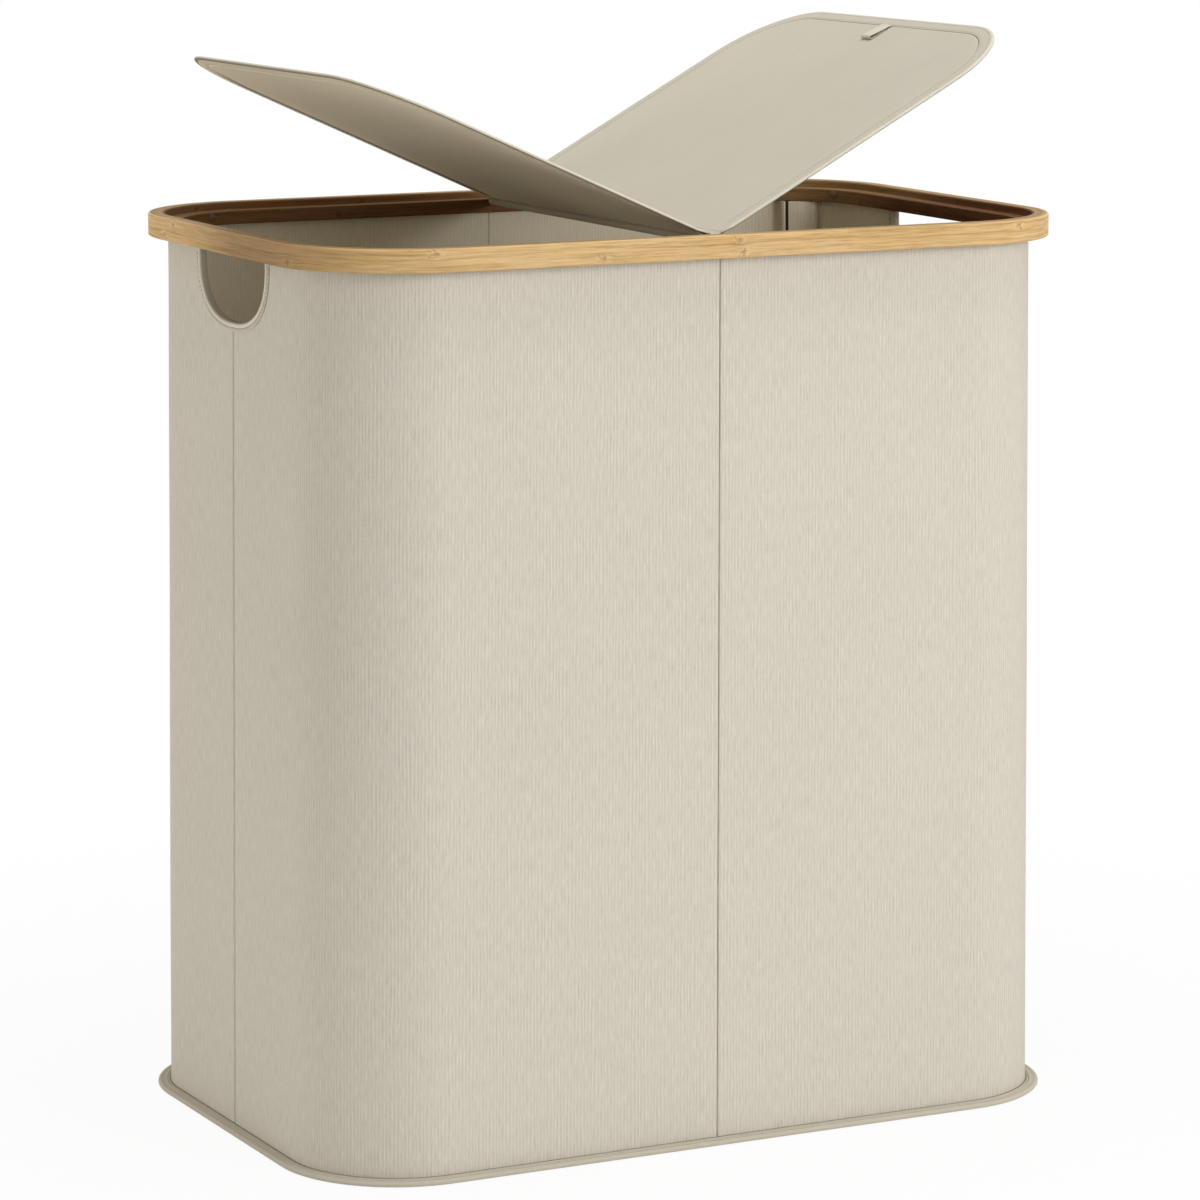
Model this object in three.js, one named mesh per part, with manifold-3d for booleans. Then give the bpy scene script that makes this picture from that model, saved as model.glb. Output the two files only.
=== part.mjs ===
// Two-bin laundry hamper: a stiffened fabric body hung from a rabbeted bamboo rim, held up by
// four corner rods, with a low divider and two board lids that fold up from the middle.
// Millimetres, +Z up, long side along X, front at -Y, origin at the middle of the underside.
import * as THREE from 'three';
import { mergeVertices } from 'three/addons/utils/BufferGeometryUtils.js';
import Module from 'manifold-3d';

const wasm = await Module();
wasm.setup();

// Driving dimensions
const RIM_LENGTH = 602;
const RIM_DEPTH = 404;
const RIM_RADIUS = 96.5;
const RIM_TOP = 651;
const RIM_BOTTOM = 634.5;
const LEDGE_Z = 645.6;
const LIP_WIDTH = 12;
const BODY_INSET = 14.4;
const FLARE_X = 7.3;
const FLARE_Y = 0.9;
const GAP = 0.3;
const CORNER_STEPS = 12;

// Layers of the wall, from the outside in, each measured from the rim's outer edge
const COVER_THICKNESS = 1.0;
const INTERLINING_THICKNESS = 1.8;
const LINING_THICKNESS = 0.7;
const INTERLINING_INSET = BODY_INSET + COVER_THICKNESS + GAP;
const LINING_INSET = INTERLINING_INSET + INTERLINING_THICKNESS + GAP;
const WALL_INNER_INSET = LINING_INSET + LINING_THICKNESS;
const WALL_TOP = 638.5;

// Rim rings
const SHELF_UNDERSIDE = WALL_TOP + GAP;
const INNER_RING_INSET = WALL_INNER_INSET + GAP;
const INNER_RING_WIDTH = 5.2;
const INNER_RING_BOTTOM = 635.5;
const RIM_EDGE_RADIUS = 1.8;
const INNER_RING_EDGE_RADIUS = 0.8;
const CUT_MARGIN = 2;

// Rim screws
const SCREW_Z = 641.6;
const SCREW_RADIUS = 1.4;
const SCREW_LENGTH = 14;
const SCREW_HEAD_RADIUS = 3;
const SCREW_HEAD_HEIGHT = 1.1;
const SCREW_ANGLES = [22, 68];
const SCREW_SIDES = 10;

// Base
const FLANGE_REACH = 9.6;
const FLANGE_HEIGHT = 4;
const BOTTOM_COVER_THICKNESS = 2.4;
const FLANGE_EDGE_WIDTH = 2.4;
const FLANGE_WELT_RADIUS = 1.4;
const FLANGE_WELT_OFFSET = 2;
const FLANGE_TUCK = 1.6;
const WALL_FOOT = 4.4;
const BASE_BOARD_THICKNESS = 4;
const BOTTOM_LINING_THICKNESS = 0.8;

// Handle openings in the end walls
const HANDLE_HALF_WIDTH = 60;
const HANDLE_STRAIGHT = 5;
const HANDLE_DROP = 46;
const HANDLE_EXPONENT = 2.4;
const BINDING_THICKNESS = 0.8;
const BINDING_WIDTH = 5;
const BINDING_CHAMFER = 0.5;
const HANDLE_CUT_DEPTH = 60;

// Corner rods and the sleeves that hold them
const ROD_RADIUS = 2.5;
const ROD_ANGLE = 53.5;
const SLEEVE_START = 34.5;
const SLEEVE_END = 61.5;
const SLEEVE_EDGE = 1.0;
const SLEEVE_SLIT = 1.9;
const SLEEVE_LIP_DEGREES = 2;

// Divider
const DIVIDER_THICKNESS = 3;
const DIVIDER_TOP = 596;
const DIVIDER_BINDING_DEPTH = 9;

// Lids and their hinge
const LID_LENGTH = 285.3;
const LID_HALF_DEPTH = 180.5;
const LID_RADIUS = 69;
const LID_UNDERSIDE = LEDGE_Z + GAP;
const LID_COVER_THICKNESS = 0.5;
const LID_BOARD_THICKNESS = 1.6;
const LID_BINDING_WIDTH = 2.6;
const LID_THICKNESS = LID_BOARD_THICKNESS + 2 * LID_COVER_THICKNESS + 2 * GAP;
const LID_TOP = LID_UNDERSIDE + LID_THICKNESS;
const LID_BOARD_START = 4.8;
const HINGE_OFFSET = 1.1;
const HINGE_Z = LID_TOP - LID_COVER_THICKNESS / 2;
const LEFT_LID_ANGLE = 23.9;
const RIGHT_LID_ANGLE = 28.4;
const HINGE_ROD_RADIUS = 2;
const HINGE_ROD_Z = 644.5;
const HINGE_ROD_SEAT = 4;
const HINGE_SLEEVE_WALL = 0.8;
const HINGE_NECK_HALF_WIDTH = 0.5;

// Pull tabs
const TAB_WIDTH = 14;
const TAB_LENGTH = 25;
const TAB_LIFT = 6.5;
const TAB_THICKNESS = 0.9;
const TAB_FROM_EDGE = 11;
const TAB_ROLL = 1.7;
const TAB_SEWN_LENGTH = 6;

const halfLength = RIM_LENGTH / 2;
const halfDepth = RIM_DEPTH / 2;
const cornerX = halfLength - RIM_RADIUS;
const cornerY = halfDepth - RIM_RADIUS;
const radians = THREE.MathUtils.degToRad;

const bamboo = { color: 0xd3b17a, roughness: 0.5, metalness: 0 };
const fabric = { color: 0xd4cebe, roughness: 0.95, metalness: 0 };
const trim = { color: 0xdad5c7, roughness: 0.9, metalness: 0 };
const felt = { color: 0xb9b2a0, roughness: 1, metalness: 0 };
const board = { color: 0x8d7f66, roughness: 0.9, metalness: 0 };
const steel = { color: 0x3a3835, roughness: 0.45, metalness: 0.8 };
const bronze = { color: 0x6c5948, roughness: 0.5, metalness: 0.6 };

// A closed body from points and triangles, turned so that its faces point out
function closedBody(points, triangles) {
  let volume = 0;
  for (const [a, b, c] of triangles) {
    volume += new THREE.Vector3(...points[a])
      .cross(new THREE.Vector3(...points[b]))
      .dot(new THREE.Vector3(...points[c]));
  }
  const order = volume < 0 ? triangles.map(([a, b, c]) => [a, c, b]) : triangles;
  const geometry = new THREE.BufferGeometry();
  geometry.setAttribute('position', new THREE.Float32BufferAttribute(points.flat(), 3));
  geometry.setIndex(order.flat());
  return geometry;
}

// Triangles that fill a flat outline, all turned the way that the outline runs
function fill(outline) {
  const flat = outline.map(([u, v]) => new THREE.Vector2(u, v));
  const turn = Math.sign(THREE.ShapeUtils.area(flat));
  return THREE.ShapeUtils.triangulateShape(flat, []).map(([a, b, c]) => {
    const same = Math.sign(THREE.ShapeUtils.area([flat[a], flat[b], flat[c]])) === turn;
    return same ? [a, b, c] : [a, c, b];
  });
}

// Rings of points joined one to the next: closed all round, or with both ends filled
function loft(rings, endOutline) {
  const count = rings[0].length;
  const triangles = [];
  const spans = endOutline ? rings.length - 1 : rings.length;
  for (let i = 0; i < spans; i += 1) {
    const near = i * count;
    const far = ((i + 1) % rings.length) * count;
    for (let k = 0; k < count; k += 1) {
      const next = (k + 1) % count;
      triangles.push([near + k, far + k, far + next], [near + k, far + next, near + next]);
    }
  }
  if (endOutline) {
    const last = (rings.length - 1) * count;
    for (const [a, b, c] of fill(endOutline)) {
      triangles.push([a, b, c], [last + a, last + c, last + b]);
    }
  }
  return closedBody(rings.flat(), triangles);
}

// A section swept along stations, where place(station, corner) gives a section corner's point
function sweep(stations, section, closed, place) {
  const rings = stations.map((station) => section.map((corner) => place(station, corner)));
  return loft(rings, closed ? null : section);
}

function toSolid(geometry) {
  const bare = geometry.clone();
  bare.deleteAttribute('normal');
  bare.deleteAttribute('uv');
  const merged = mergeVertices(bare, 1e-4);
  return new wasm.Manifold(new wasm.Mesh({
    numProp: 3,
    vertProperties: new Float32Array(merged.attributes.position.array),
    triVerts: new Uint32Array(merged.index.array),
  }));
}

function toGeometry(solid) {
  const mesh = solid.getMesh();
  const geometry = new THREE.BufferGeometry();
  geometry.setAttribute('position', new THREE.BufferAttribute(new Float32Array(mesh.vertProperties), 3));
  geometry.setIndex(Array.from(mesh.triVerts));
  return geometry;
}

function subtract(geometry, cutters) {
  return toGeometry(cutters.reduce((solid, cutter) => solid.subtract(toSolid(cutter)), toSolid(geometry)));
}

function add(geometry, others) {
  return toGeometry(others.reduce((solid, other) => solid.add(toSolid(other)), toSolid(geometry)));
}

function mesh(name, geometry, material) {
  const piece = new THREE.Mesh(geometry, new THREE.MeshStandardMaterial(material));
  piece.name = name;
  return piece;
}

// Stations of one quarter of the rim's outline, from the long wall's middle round the corner to
// the end wall's middle. Each holds the point, the outward normal and its share of the flare.
function quarterStations(sideX, sideY, seam) {
  const stations = [{ x: seam, y: halfDepth, nx: 0, ny: 1, shareX: seam / cornerX, shareY: 1 }];
  for (let i = 0; i <= CORNER_STEPS; i += 1) {
    const angle = (Math.PI / 2) * (1 - i / CORNER_STEPS);
    const [nx, ny] = [Math.cos(angle), Math.sin(angle)];
    stations.push({
      x: cornerX + RIM_RADIUS * nx,
      y: cornerY + RIM_RADIUS * ny,
      nx,
      ny,
      shareX: 1,
      shareY: 1,
    });
  }
  stations.push({ x: halfLength, y: seam, nx: 1, ny: 0, shareX: 1, shareY: seam / cornerY });
  return stations.map((s) => ({
    x: s.x * sideX,
    y: s.y * sideY,
    nx: s.nx * sideX,
    ny: s.ny * sideY,
    shareX: s.shareX * sideX,
    shareY: s.shareY * sideY,
  }));
}

function fullStations() {
  const quarters = [
    quarterStations(1, -1, 0),
    quarterStations(1, 1, 0).reverse(),
    quarterStations(-1, 1, 0),
    quarterStations(-1, -1, 0).reverse(),
  ];
  return quarters.flatMap((stations) => stations.slice(0, -1));
}

// How far down the wall a height lies, from 0 at the wall's top to 1 at the floor
const drop = (z) => Math.max(0, 1 - z / WALL_TOP);

// A point of the wall: inset from the rim's outer edge, carried out by the flare below the rim
function wallPoint(station, [inset, z]) {
  return [
    station.x - station.nx * inset + station.shareX * FLARE_X * drop(z),
    station.y - station.ny * inset + station.shareY * FLARE_Y * drop(z),
    z,
  ];
}

function ringBody(section) {
  return sweep(fullStations(), section, true, wallPoint);
}

// A section corner rounded over, between the directions that it turns from and to
function rounded(inset, z, radius, fromDegrees, toDegrees, steps = 3) {
  const points = [];
  for (let i = 0; i <= steps; i += 1) {
    const angle = radians(fromDegrees + ((toDegrees - fromDegrees) * i) / steps);
    points.push([inset + radius * Math.cos(angle), z + radius * Math.sin(angle)]);
  }
  return points;
}

// Bamboo rim

// Centre line of each rim screw: where it meets the inner ring's face, and its outward direction
function screwPlaces() {
  const places = [];
  for (const sideX of [-1, 1]) {
    for (const sideY of [-1, 1]) {
      for (const degrees of SCREW_ANGLES) {
        const direction = new THREE.Vector3(
          sideX * Math.cos(radians(degrees)),
          sideY * Math.sin(radians(degrees)),
          0,
        );
        const reach = RIM_RADIUS - INNER_RING_INSET - INNER_RING_WIDTH;
        const point = new THREE.Vector3(sideX * cornerX, sideY * cornerY, SCREW_Z);
        const corner = `${sideY < 0 ? 'front' : 'back'}_${sideX < 0 ? 'left' : 'right'}`;
        const name = `rim_screw_${corner}_${degrees < 45 ? 'end' : 'face'}`;
        places.push({ name, point: point.addScaledVector(direction, reach), direction });
      }
    }
  }
  return places;
}

// A body revolved about the screw's centre line, from a profile of radius and depth
function turnedAlong({ point, direction }, profile) {
  const outline = profile.map(([r, d]) => new THREE.Vector2(r, d));
  const geometry = new THREE.LatheGeometry(outline, SCREW_SIDES);
  const turn = new THREE.Quaternion().setFromUnitVectors(new THREE.Vector3(0, 1, 0), direction);
  geometry.applyQuaternion(turn);
  geometry.translate(point.x, point.y, point.z);
  return geometry;
}

const screwBores = () => screwPlaces().map((place) => turnedAlong(place, [
  [0, -CUT_MARGIN],
  [SCREW_RADIUS + GAP, -CUT_MARGIN],
  [SCREW_RADIUS + GAP, SCREW_LENGTH + GAP],
  [0, SCREW_LENGTH + GAP],
]));

function outerRing() {
  const r = RIM_EDGE_RADIUS;
  const section = [
    ...rounded(r, RIM_BOTTOM + r, r, 270, 180),
    ...rounded(r, RIM_TOP - r, r, 180, 90),
    ...rounded(LIP_WIDTH - r, RIM_TOP - r, r, 90, 0),
    [LIP_WIDTH, LEDGE_Z],
    [WALL_INNER_INSET, LEDGE_Z],
    [WALL_INNER_INSET, SHELF_UNDERSIDE],
    [BODY_INSET - GAP, SHELF_UNDERSIDE],
    [BODY_INSET - GAP, RIM_BOTTOM],
  ];
  return subtract(ringBody(section), screwBores());
}

function innerRing() {
  const r = INNER_RING_EDGE_RADIUS;
  const inner = INNER_RING_INSET + INNER_RING_WIDTH;
  const section = [
    [INNER_RING_INSET, INNER_RING_BOTTOM],
    [INNER_RING_INSET, LEDGE_Z],
    ...rounded(inner - r, LEDGE_Z - r, r, 90, 0, 2),
    ...rounded(inner - r, INNER_RING_BOTTOM + r, r, 0, -90, 2),
  ];
  const slotWidth = 2 * (HINGE_ROD_RADIUS + GAP);
  const slotBottom = HINGE_ROD_Z - HINGE_ROD_RADIUS - GAP;
  const slotHeight = RIM_TOP - slotBottom;
  const slots = [-1, 1].map((side) => {
    const slot = new THREE.BoxGeometry(slotWidth, HINGE_ROD_SEAT + GAP + CUT_MARGIN, slotHeight);
    const y = halfDepth - inner + (HINGE_ROD_SEAT + GAP - CUT_MARGIN) / 2;
    slot.translate(0, side * y, slotBottom + slotHeight / 2);
    return slot;
  });
  return subtract(ringBody(section), [...screwBores(), ...slots]);
}

// Domed head seated on the inner ring, with a plain shank that runs into the outer ring
function rimScrew(place) {
  return turnedAlong(place, [
    [0, -GAP - SCREW_HEAD_HEIGHT],
    [SCREW_HEAD_RADIUS * 0.6, -GAP - SCREW_HEAD_HEIGHT * 0.9],
    [SCREW_HEAD_RADIUS, -GAP - SCREW_HEAD_HEIGHT * 0.4],
    [SCREW_HEAD_RADIUS, -GAP],
    [SCREW_RADIUS, -GAP],
    [SCREW_RADIUS, SCREW_LENGTH * 0.7],
    [0, SCREW_LENGTH],
  ]);
}

// Fabric body

// The handle opening's outline, a straight drop below the rim and then one full curve, grown by
// a margin and closed along the top
function handleOutline(grow, top) {
  const steps = 9;
  const width = HANDLE_HALF_WIDTH + grow;
  const fall = HANDLE_DROP + grow;
  const start = RIM_BOTTOM - HANDLE_STRAIGHT;
  const half = [];
  for (let i = 0; i <= steps; i += 1) {
    const angle = (Math.PI / 2) * (i / steps);
    const power = 2 / HANDLE_EXPONENT;
    half.push([width * Math.cos(angle) ** power, start - fall * Math.sin(angle) ** power]);
  }
  half[steps][0] = 0;
  const right = [[width, top], ...half];
  const left = right.slice(0, -1).reverse().map(([y, z]) => [-y, z]);
  return [...right, ...left];
}

// The handle opening as a cutter that runs through one end wall
function handleCutter(side) {
  const outline = handleOutline(0, RIM_BOTTOM + GAP);
  const shape = new THREE.Shape(outline.map(([y, z]) => new THREE.Vector2(y, z)));
  const depth = HANDLE_CUT_DEPTH;
  const cutter = new THREE.ExtrudeGeometry(shape, { depth, bevelEnabled: false, steps: 1 });
  cutter.rotateX(Math.PI / 2);
  cutter.rotateZ(Math.PI / 2);
  cutter.translate(side > 0 ? halfLength - depth : -halfLength, 0, 0);
  return cutter;
}

// One quarter of a wall layer, sewn at the long wall's middle and the end wall's middle
function wallQuarter(sideX, sideY, inset, thickness) {
  const section = [
    [inset, WALL_FOOT],
    [inset + thickness, WALL_FOOT],
    [inset + thickness, WALL_TOP],
    [inset, WALL_TOP],
  ];
  const panel = sweep(quarterStations(sideX, sideY, GAP / 2), section, false, wallPoint);
  return subtract(panel, [handleCutter(sideX)]);
}

// Folded binding round a handle opening's cut edge, a channel that takes the whole wall in
function handleBinding(side) {
  const edge = handleOutline(0, RIM_BOTTOM - GAP);
  const back = handleOutline(1, RIM_BOTTOM - GAP);
  const wallMiddle = (BODY_INSET + WALL_INNER_INSET) / 2;
  const halfWall = (WALL_INNER_INSET - BODY_INSET) / 2 + GAP;
  const outside = halfWall + BINDING_THICKNESS;
  const lip = BINDING_THICKNESS + GAP;
  const section = [
    [-lip + BINDING_CHAMFER, -outside],
    [BINDING_WIDTH, -outside],
    [BINDING_WIDTH, -halfWall],
    [-GAP, -halfWall],
    [-GAP, halfWall],
    [BINDING_WIDTH, halfWall],
    [BINDING_WIDTH, outside],
    [-lip + BINDING_CHAMFER, outside],
    [-lip, outside - BINDING_CHAMFER],
    [-lip, -outside + BINDING_CHAMFER],
  ];
  const stations = edge.map(([y, z], i) => ({ y, z, awayY: back[i][0] - y, awayZ: back[i][1] - z }));
  return sweep(stations, section, false, (station, [away, across]) => {
    const length = Math.hypot(station.awayY, station.awayZ) || 1;
    const y = station.y + (station.awayY / length) * away;
    const z = station.z + (station.awayZ / length) * away;
    return [side * (halfLength - wallMiddle + FLARE_X * drop(z) - across), y, z];
  });
}

// Corner rods

// Leans an upright piece out with the wall, about the height where the wall's flare starts
function leanWithWall(geometry, sideX, sideY) {
  const position = geometry.attributes.position;
  for (let i = 0; i < position.count; i += 1) {
    const fall = drop(position.getZ(i));
    position.setX(i, position.getX(i) + sideX * FLARE_X * fall);
    position.setY(i, position.getY(i) + sideY * FLARE_Y * fall);
  }
  return geometry;
}

const FLOOR_INSIDE = BOTTOM_COVER_THICKNESS + GAP + BASE_BOARD_THICKNESS + GAP + BOTTOM_LINING_THICKNESS;
const rodInset = WALL_INNER_INSET + GAP + SLEEVE_EDGE + GAP + ROD_RADIUS;
const rodRing = RIM_RADIUS - rodInset;
const rodCosine = Math.cos(radians(ROD_ANGLE));
const rodSine = Math.sin(radians(ROD_ANGLE));
const rodX = cornerX + rodRing * rodCosine;
const rodY = cornerY + rodRing * rodSine;

function supportRod(sideX, sideY) {
  const bottom = FLOOR_INSIDE + GAP;
  const top = INNER_RING_BOTTOM - GAP;
  const rod = new THREE.CylinderGeometry(ROD_RADIUS, ROD_RADIUS, top - bottom, 12);
  rod.rotateX(Math.PI / 2);
  rod.translate(sideX * rodX, sideY * rodY, (top + bottom) / 2);
  return leanWithWall(rod, sideX, sideY);
}

// A fabric strip sewn down both edges and drawn tight over the rod, with a slit along the rod
function rodSleeve(sideX, sideY) {
  const back = RIM_RADIUS - WALL_INNER_INSET - GAP;
  const sewn = back - SLEEVE_EDGE;
  const bore = ROD_RADIUS + GAP;
  const front = rodRing - bore - SLEEVE_EDGE;
  const place = (x, y) => new THREE.Vector2(sideX * x, sideY * y);
  const polar = (radius, degrees) => place(
    cornerX + radius * Math.cos(radians(degrees)),
    cornerY + radius * Math.sin(radians(degrees)),
  );
  const fromRod = (inward, across) => place(
    rodX - inward * rodCosine - across * rodSine,
    rodY - inward * rodSine + across * rodCosine,
  );
  const backSteps = 14;
  const rampSteps = 6;
  const boreSteps = 12;
  const outline = [];
  for (let i = 0; i <= backSteps; i += 1) {
    outline.push(polar(back, SLEEVE_START + ((SLEEVE_END - SLEEVE_START) * i) / backSteps));
  }
  const lip = ROD_ANGLE + SLEEVE_LIP_DEGREES;
  for (let i = 0; i <= rampSteps; i += 1) {
    const rise = THREE.MathUtils.smoothstep(i / rampSteps, 0, 1);
    outline.push(polar(sewn + (front - sewn) * rise, SLEEVE_END + ((lip - SLEEVE_END) * i) / rampSteps));
  }
  outline.push(fromRod(bore + SLEEVE_EDGE, SLEEVE_SLIT / 2));
  const mouth = Math.asin(SLEEVE_SLIT / 2 / bore);
  for (let i = 0; i <= boreSteps; i += 1) {
    const angle = mouth + ((2 * Math.PI - 2 * mouth) * i) / boreSteps;
    outline.push(fromRod(bore * Math.cos(angle), bore * Math.sin(angle)));
  }
  outline.push(fromRod(bore + SLEEVE_EDGE, -SLEEVE_SLIT / 2));
  outline.push(polar(sewn, SLEEVE_START));
  const bottom = FLOOR_INSIDE + GAP;
  const top = INNER_RING_BOTTOM - GAP;
  const sleeve = new THREE.ExtrudeGeometry(new THREE.Shape(outline), {
    depth: top - bottom,
    bevelEnabled: false,
    steps: 1,
  });
  sleeve.translate(0, 0, bottom);
  return leanWithWall(sleeve, sideX, sideY);
}

// Base

// A flat sheet whose edge follows the wall's outline at floor level
function baseSheet(inset, bottom, thickness) {
  const outline = fullStations().map((station) => wallPoint(station, [inset, 0]).slice(0, 2));
  return loft([bottom, bottom + thickness].map((z) => outline.map(([x, y]) => [x, y, z])), outline);
}

const flangeInset = BODY_INSET - FLANGE_REACH;

// Hem binding that folds over the base's edge and runs up to the foot of the wall
function baseFlange() {
  const edge = (FLANGE_HEIGHT - GAP) / 2;
  const under = flangeInset + FLANGE_EDGE_WIDTH;
  const section = [
    [under, GAP],
    ...rounded(flangeInset + edge, GAP + edge, edge, 270, 90, 6),
    ...rounded(BODY_INSET - FLANGE_WELT_OFFSET, FLANGE_HEIGHT, FLANGE_WELT_RADIUS, 180, 0, 4),
    [BODY_INSET + FLANGE_TUCK, FLANGE_HEIGHT],
    [BODY_INSET + FLANGE_TUCK, BOTTOM_COVER_THICKNESS + GAP],
    [under, BOTTOM_COVER_THICKNESS + GAP],
  ];
  return sweep(fullStations(), section, true, (station, [inset, z]) => {
    const [x, y] = wallPoint(station, [inset, 0]);
    return [x, y, z];
  });
}

// Divider

const dividerHalf = (z) => halfDepth - WALL_INNER_INSET - GAP + FLARE_Y * drop(z);

function divider() {
  const half = DIVIDER_THICKNESS / 2;
  const bottom = FLOOR_INSIDE + GAP;
  const corners = [[-half, bottom], [half, bottom], [half, DIVIDER_TOP], [-half, DIVIDER_TOP]];
  const ends = [-1, 1].map((side) => corners.map(([x, z]) => [x, side * dividerHalf(z), z]));
  return loft(ends, corners);
}

// Folded tape over the divider's top edge
function dividerBinding() {
  const inner = DIVIDER_THICKNESS / 2 + GAP;
  const outer = inner + BINDING_THICKNESS;
  const foot = DIVIDER_TOP - DIVIDER_BINDING_DEPTH;
  const section = [
    [-outer, foot],
    [-inner, foot],
    [-inner, DIVIDER_TOP + GAP],
    [inner, DIVIDER_TOP + GAP],
    [inner, foot],
    [outer, foot],
    ...rounded(0, DIVIDER_TOP + GAP, outer, 0, 180, 6),
  ];
  const ends = [-1, 1].map((side) => ({ side }));
  return sweep(ends, section, false, (end, [x, z]) => [x, end.side * dividerHalf(DIVIDER_TOP), z]);
}

// Lid hinge

const hingeReach = halfDepth - INNER_RING_INSET - INNER_RING_WIDTH;

function hingeRod() {
  const length = 2 * (hingeReach + HINGE_ROD_SEAT);
  const rod = new THREE.CylinderGeometry(HINGE_ROD_RADIUS, HINGE_ROD_RADIUS, length, 12);
  rod.translate(0, 0, HINGE_ROD_Z);
  return rod;
}

// Fabric loop round the rod, with a narrow neck up to the fold where both lids are sewn on
function hingeSleeve() {
  const bore = HINGE_ROD_RADIUS + GAP;
  const outer = bore + HINGE_SLEEVE_WALL;
  const neckAngle = Math.asin(HINGE_NECK_HALF_WIDTH / outer);
  const shape = new THREE.Shape();
  shape.moveTo(HINGE_NECK_HALF_WIDTH, LID_TOP);
  shape.lineTo(-HINGE_NECK_HALF_WIDTH, LID_TOP);
  shape.absarc(0, HINGE_ROD_Z, outer, Math.PI / 2 + neckAngle, Math.PI * 2.5 - neckAngle);
  const hole = new THREE.Path();
  hole.absarc(0, HINGE_ROD_Z, bore, 0, Math.PI * 2);
  shape.holes.push(hole);
  const length = 2 * (hingeReach - GAP);
  const sleeve = new THREE.ExtrudeGeometry(shape, {
    depth: length,
    bevelEnabled: false,
    steps: 1,
    curveSegments: 8,
  });
  sleeve.rotateX(Math.PI / 2);
  sleeve.translate(0, length / 2, 0);
  return sleeve;
}

// Lids, drawn closed with the fold along Y at the origin and the lid running along +X

// The lid's outline at an inset from its edge, starting at a distance from the fold
function lidOutline(start, inset) {
  const end = LID_LENGTH - inset;
  const half = LID_HALF_DEPTH - inset;
  const radius = LID_RADIUS - inset;
  const points = [[start, -half]];
  for (const side of [-1, 1]) {
    for (let i = 0; i <= CORNER_STEPS; i += 1) {
      const turn = (Math.PI / 2) * (i / CORNER_STEPS);
      const angle = side < 0 ? turn - Math.PI / 2 : turn;
      points.push([
        end - radius + radius * Math.cos(angle),
        side * (half - radius) + radius * Math.sin(angle),
      ]);
    }
  }
  points.push([start, half]);
  return points;
}

function lidSheet(start, inset, bottom, thickness) {
  const shape = new THREE.Shape(lidOutline(start, inset).map(([x, y]) => new THREE.Vector2(x, y)));
  const sheet = new THREE.ExtrudeGeometry(shape, { depth: thickness, bevelEnabled: false, steps: 1 });
  sheet.translate(0, 0, bottom);
  return sheet;
}

// Heights of the lid's layers above the fold line
const lidBase = LID_UNDERSIDE - HINGE_Z;
const lidBoardBase = lidBase + LID_COVER_THICKNESS + GAP;
const lidCoverBase = lidBoardBase + LID_BOARD_THICKNESS + GAP;
const coverInset = LID_BINDING_WIDTH + GAP;

// Underside fabric, turned up over the board's inner edge
function lidLining() {
  const start = LID_BOARD_START - GAP - LID_COVER_THICKNESS;
  const width = 2 * (LID_HALF_DEPTH - coverInset);
  const top = lidCoverBase - GAP;
  const turnUp = new THREE.BoxGeometry(LID_COVER_THICKNESS, width, top - lidBase);
  turnUp.translate(start + LID_COVER_THICKNESS / 2, 0, (top + lidBase) / 2);
  return add(lidSheet(start, coverInset, lidBase, LID_COVER_THICKNESS), [turnUp]);
}

// Binding round the three free edges, rounded on the outside
function lidBinding() {
  const edges = [lidOutline(LID_BOARD_START - 1, 0), lidOutline(LID_BOARD_START - 1, LID_BINDING_WIDTH)];
  const stations = edges[0].map(([x, y], i) => ({
    x,
    y,
    inX: (edges[1][i][0] - x) / LID_BINDING_WIDTH,
    inY: (edges[1][i][1] - y) / LID_BINDING_WIDTH,
  }));
  const half = LID_THICKNESS / 2;
  const section = [
    [LID_BINDING_WIDTH, lidBase],
    ...rounded(half, lidBase + half, half, 270, 90, 6),
    [LID_BINDING_WIDTH, lidBase + LID_THICKNESS],
  ];
  return sweep(stations, section, false, (s, [inset, z]) => [s.x + s.inX * inset, s.y + s.inY * inset, z]);
}

// A loop of tape sewn flat near the lid's outer edge, its fold standing up towards the hinge
function pullTab() {
  const far = LID_LENGTH - TAB_FROM_EDGE;
  const near = far - TAB_LENGTH;
  const base = LID_TOP - HINGE_Z + GAP;
  const seam = far - TAB_SEWN_LENGTH;
  const foldX = near + TAB_ROLL;
  const foldZ = base + TAB_LIFT - TAB_ROLL;
  const section = [
    [far, base],
    [far, base + TAB_THICKNESS],
    ...rounded(foldX, foldZ, TAB_ROLL, 60, 270, 7),
    [seam, base + TAB_THICKNESS / 4],
    [seam, base],
  ];
  const hole = [
    ...rounded(foldX, foldZ, TAB_ROLL - TAB_THICKNESS, 60, 270, 7).reverse(),
    [seam - TAB_THICKNESS, base + TAB_THICKNESS * 1.4],
  ];
  const shape = new THREE.Shape(section.map(([x, z]) => new THREE.Vector2(x, z)));
  shape.holes.push(new THREE.Path(hole.map(([x, z]) => new THREE.Vector2(x, z))));
  const tab = new THREE.ExtrudeGeometry(shape, { depth: TAB_WIDTH, bevelEnabled: false, steps: 1 });
  tab.rotateX(Math.PI / 2);
  tab.translate(0, TAB_WIDTH / 2, 0);
  return tab;
}

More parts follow.
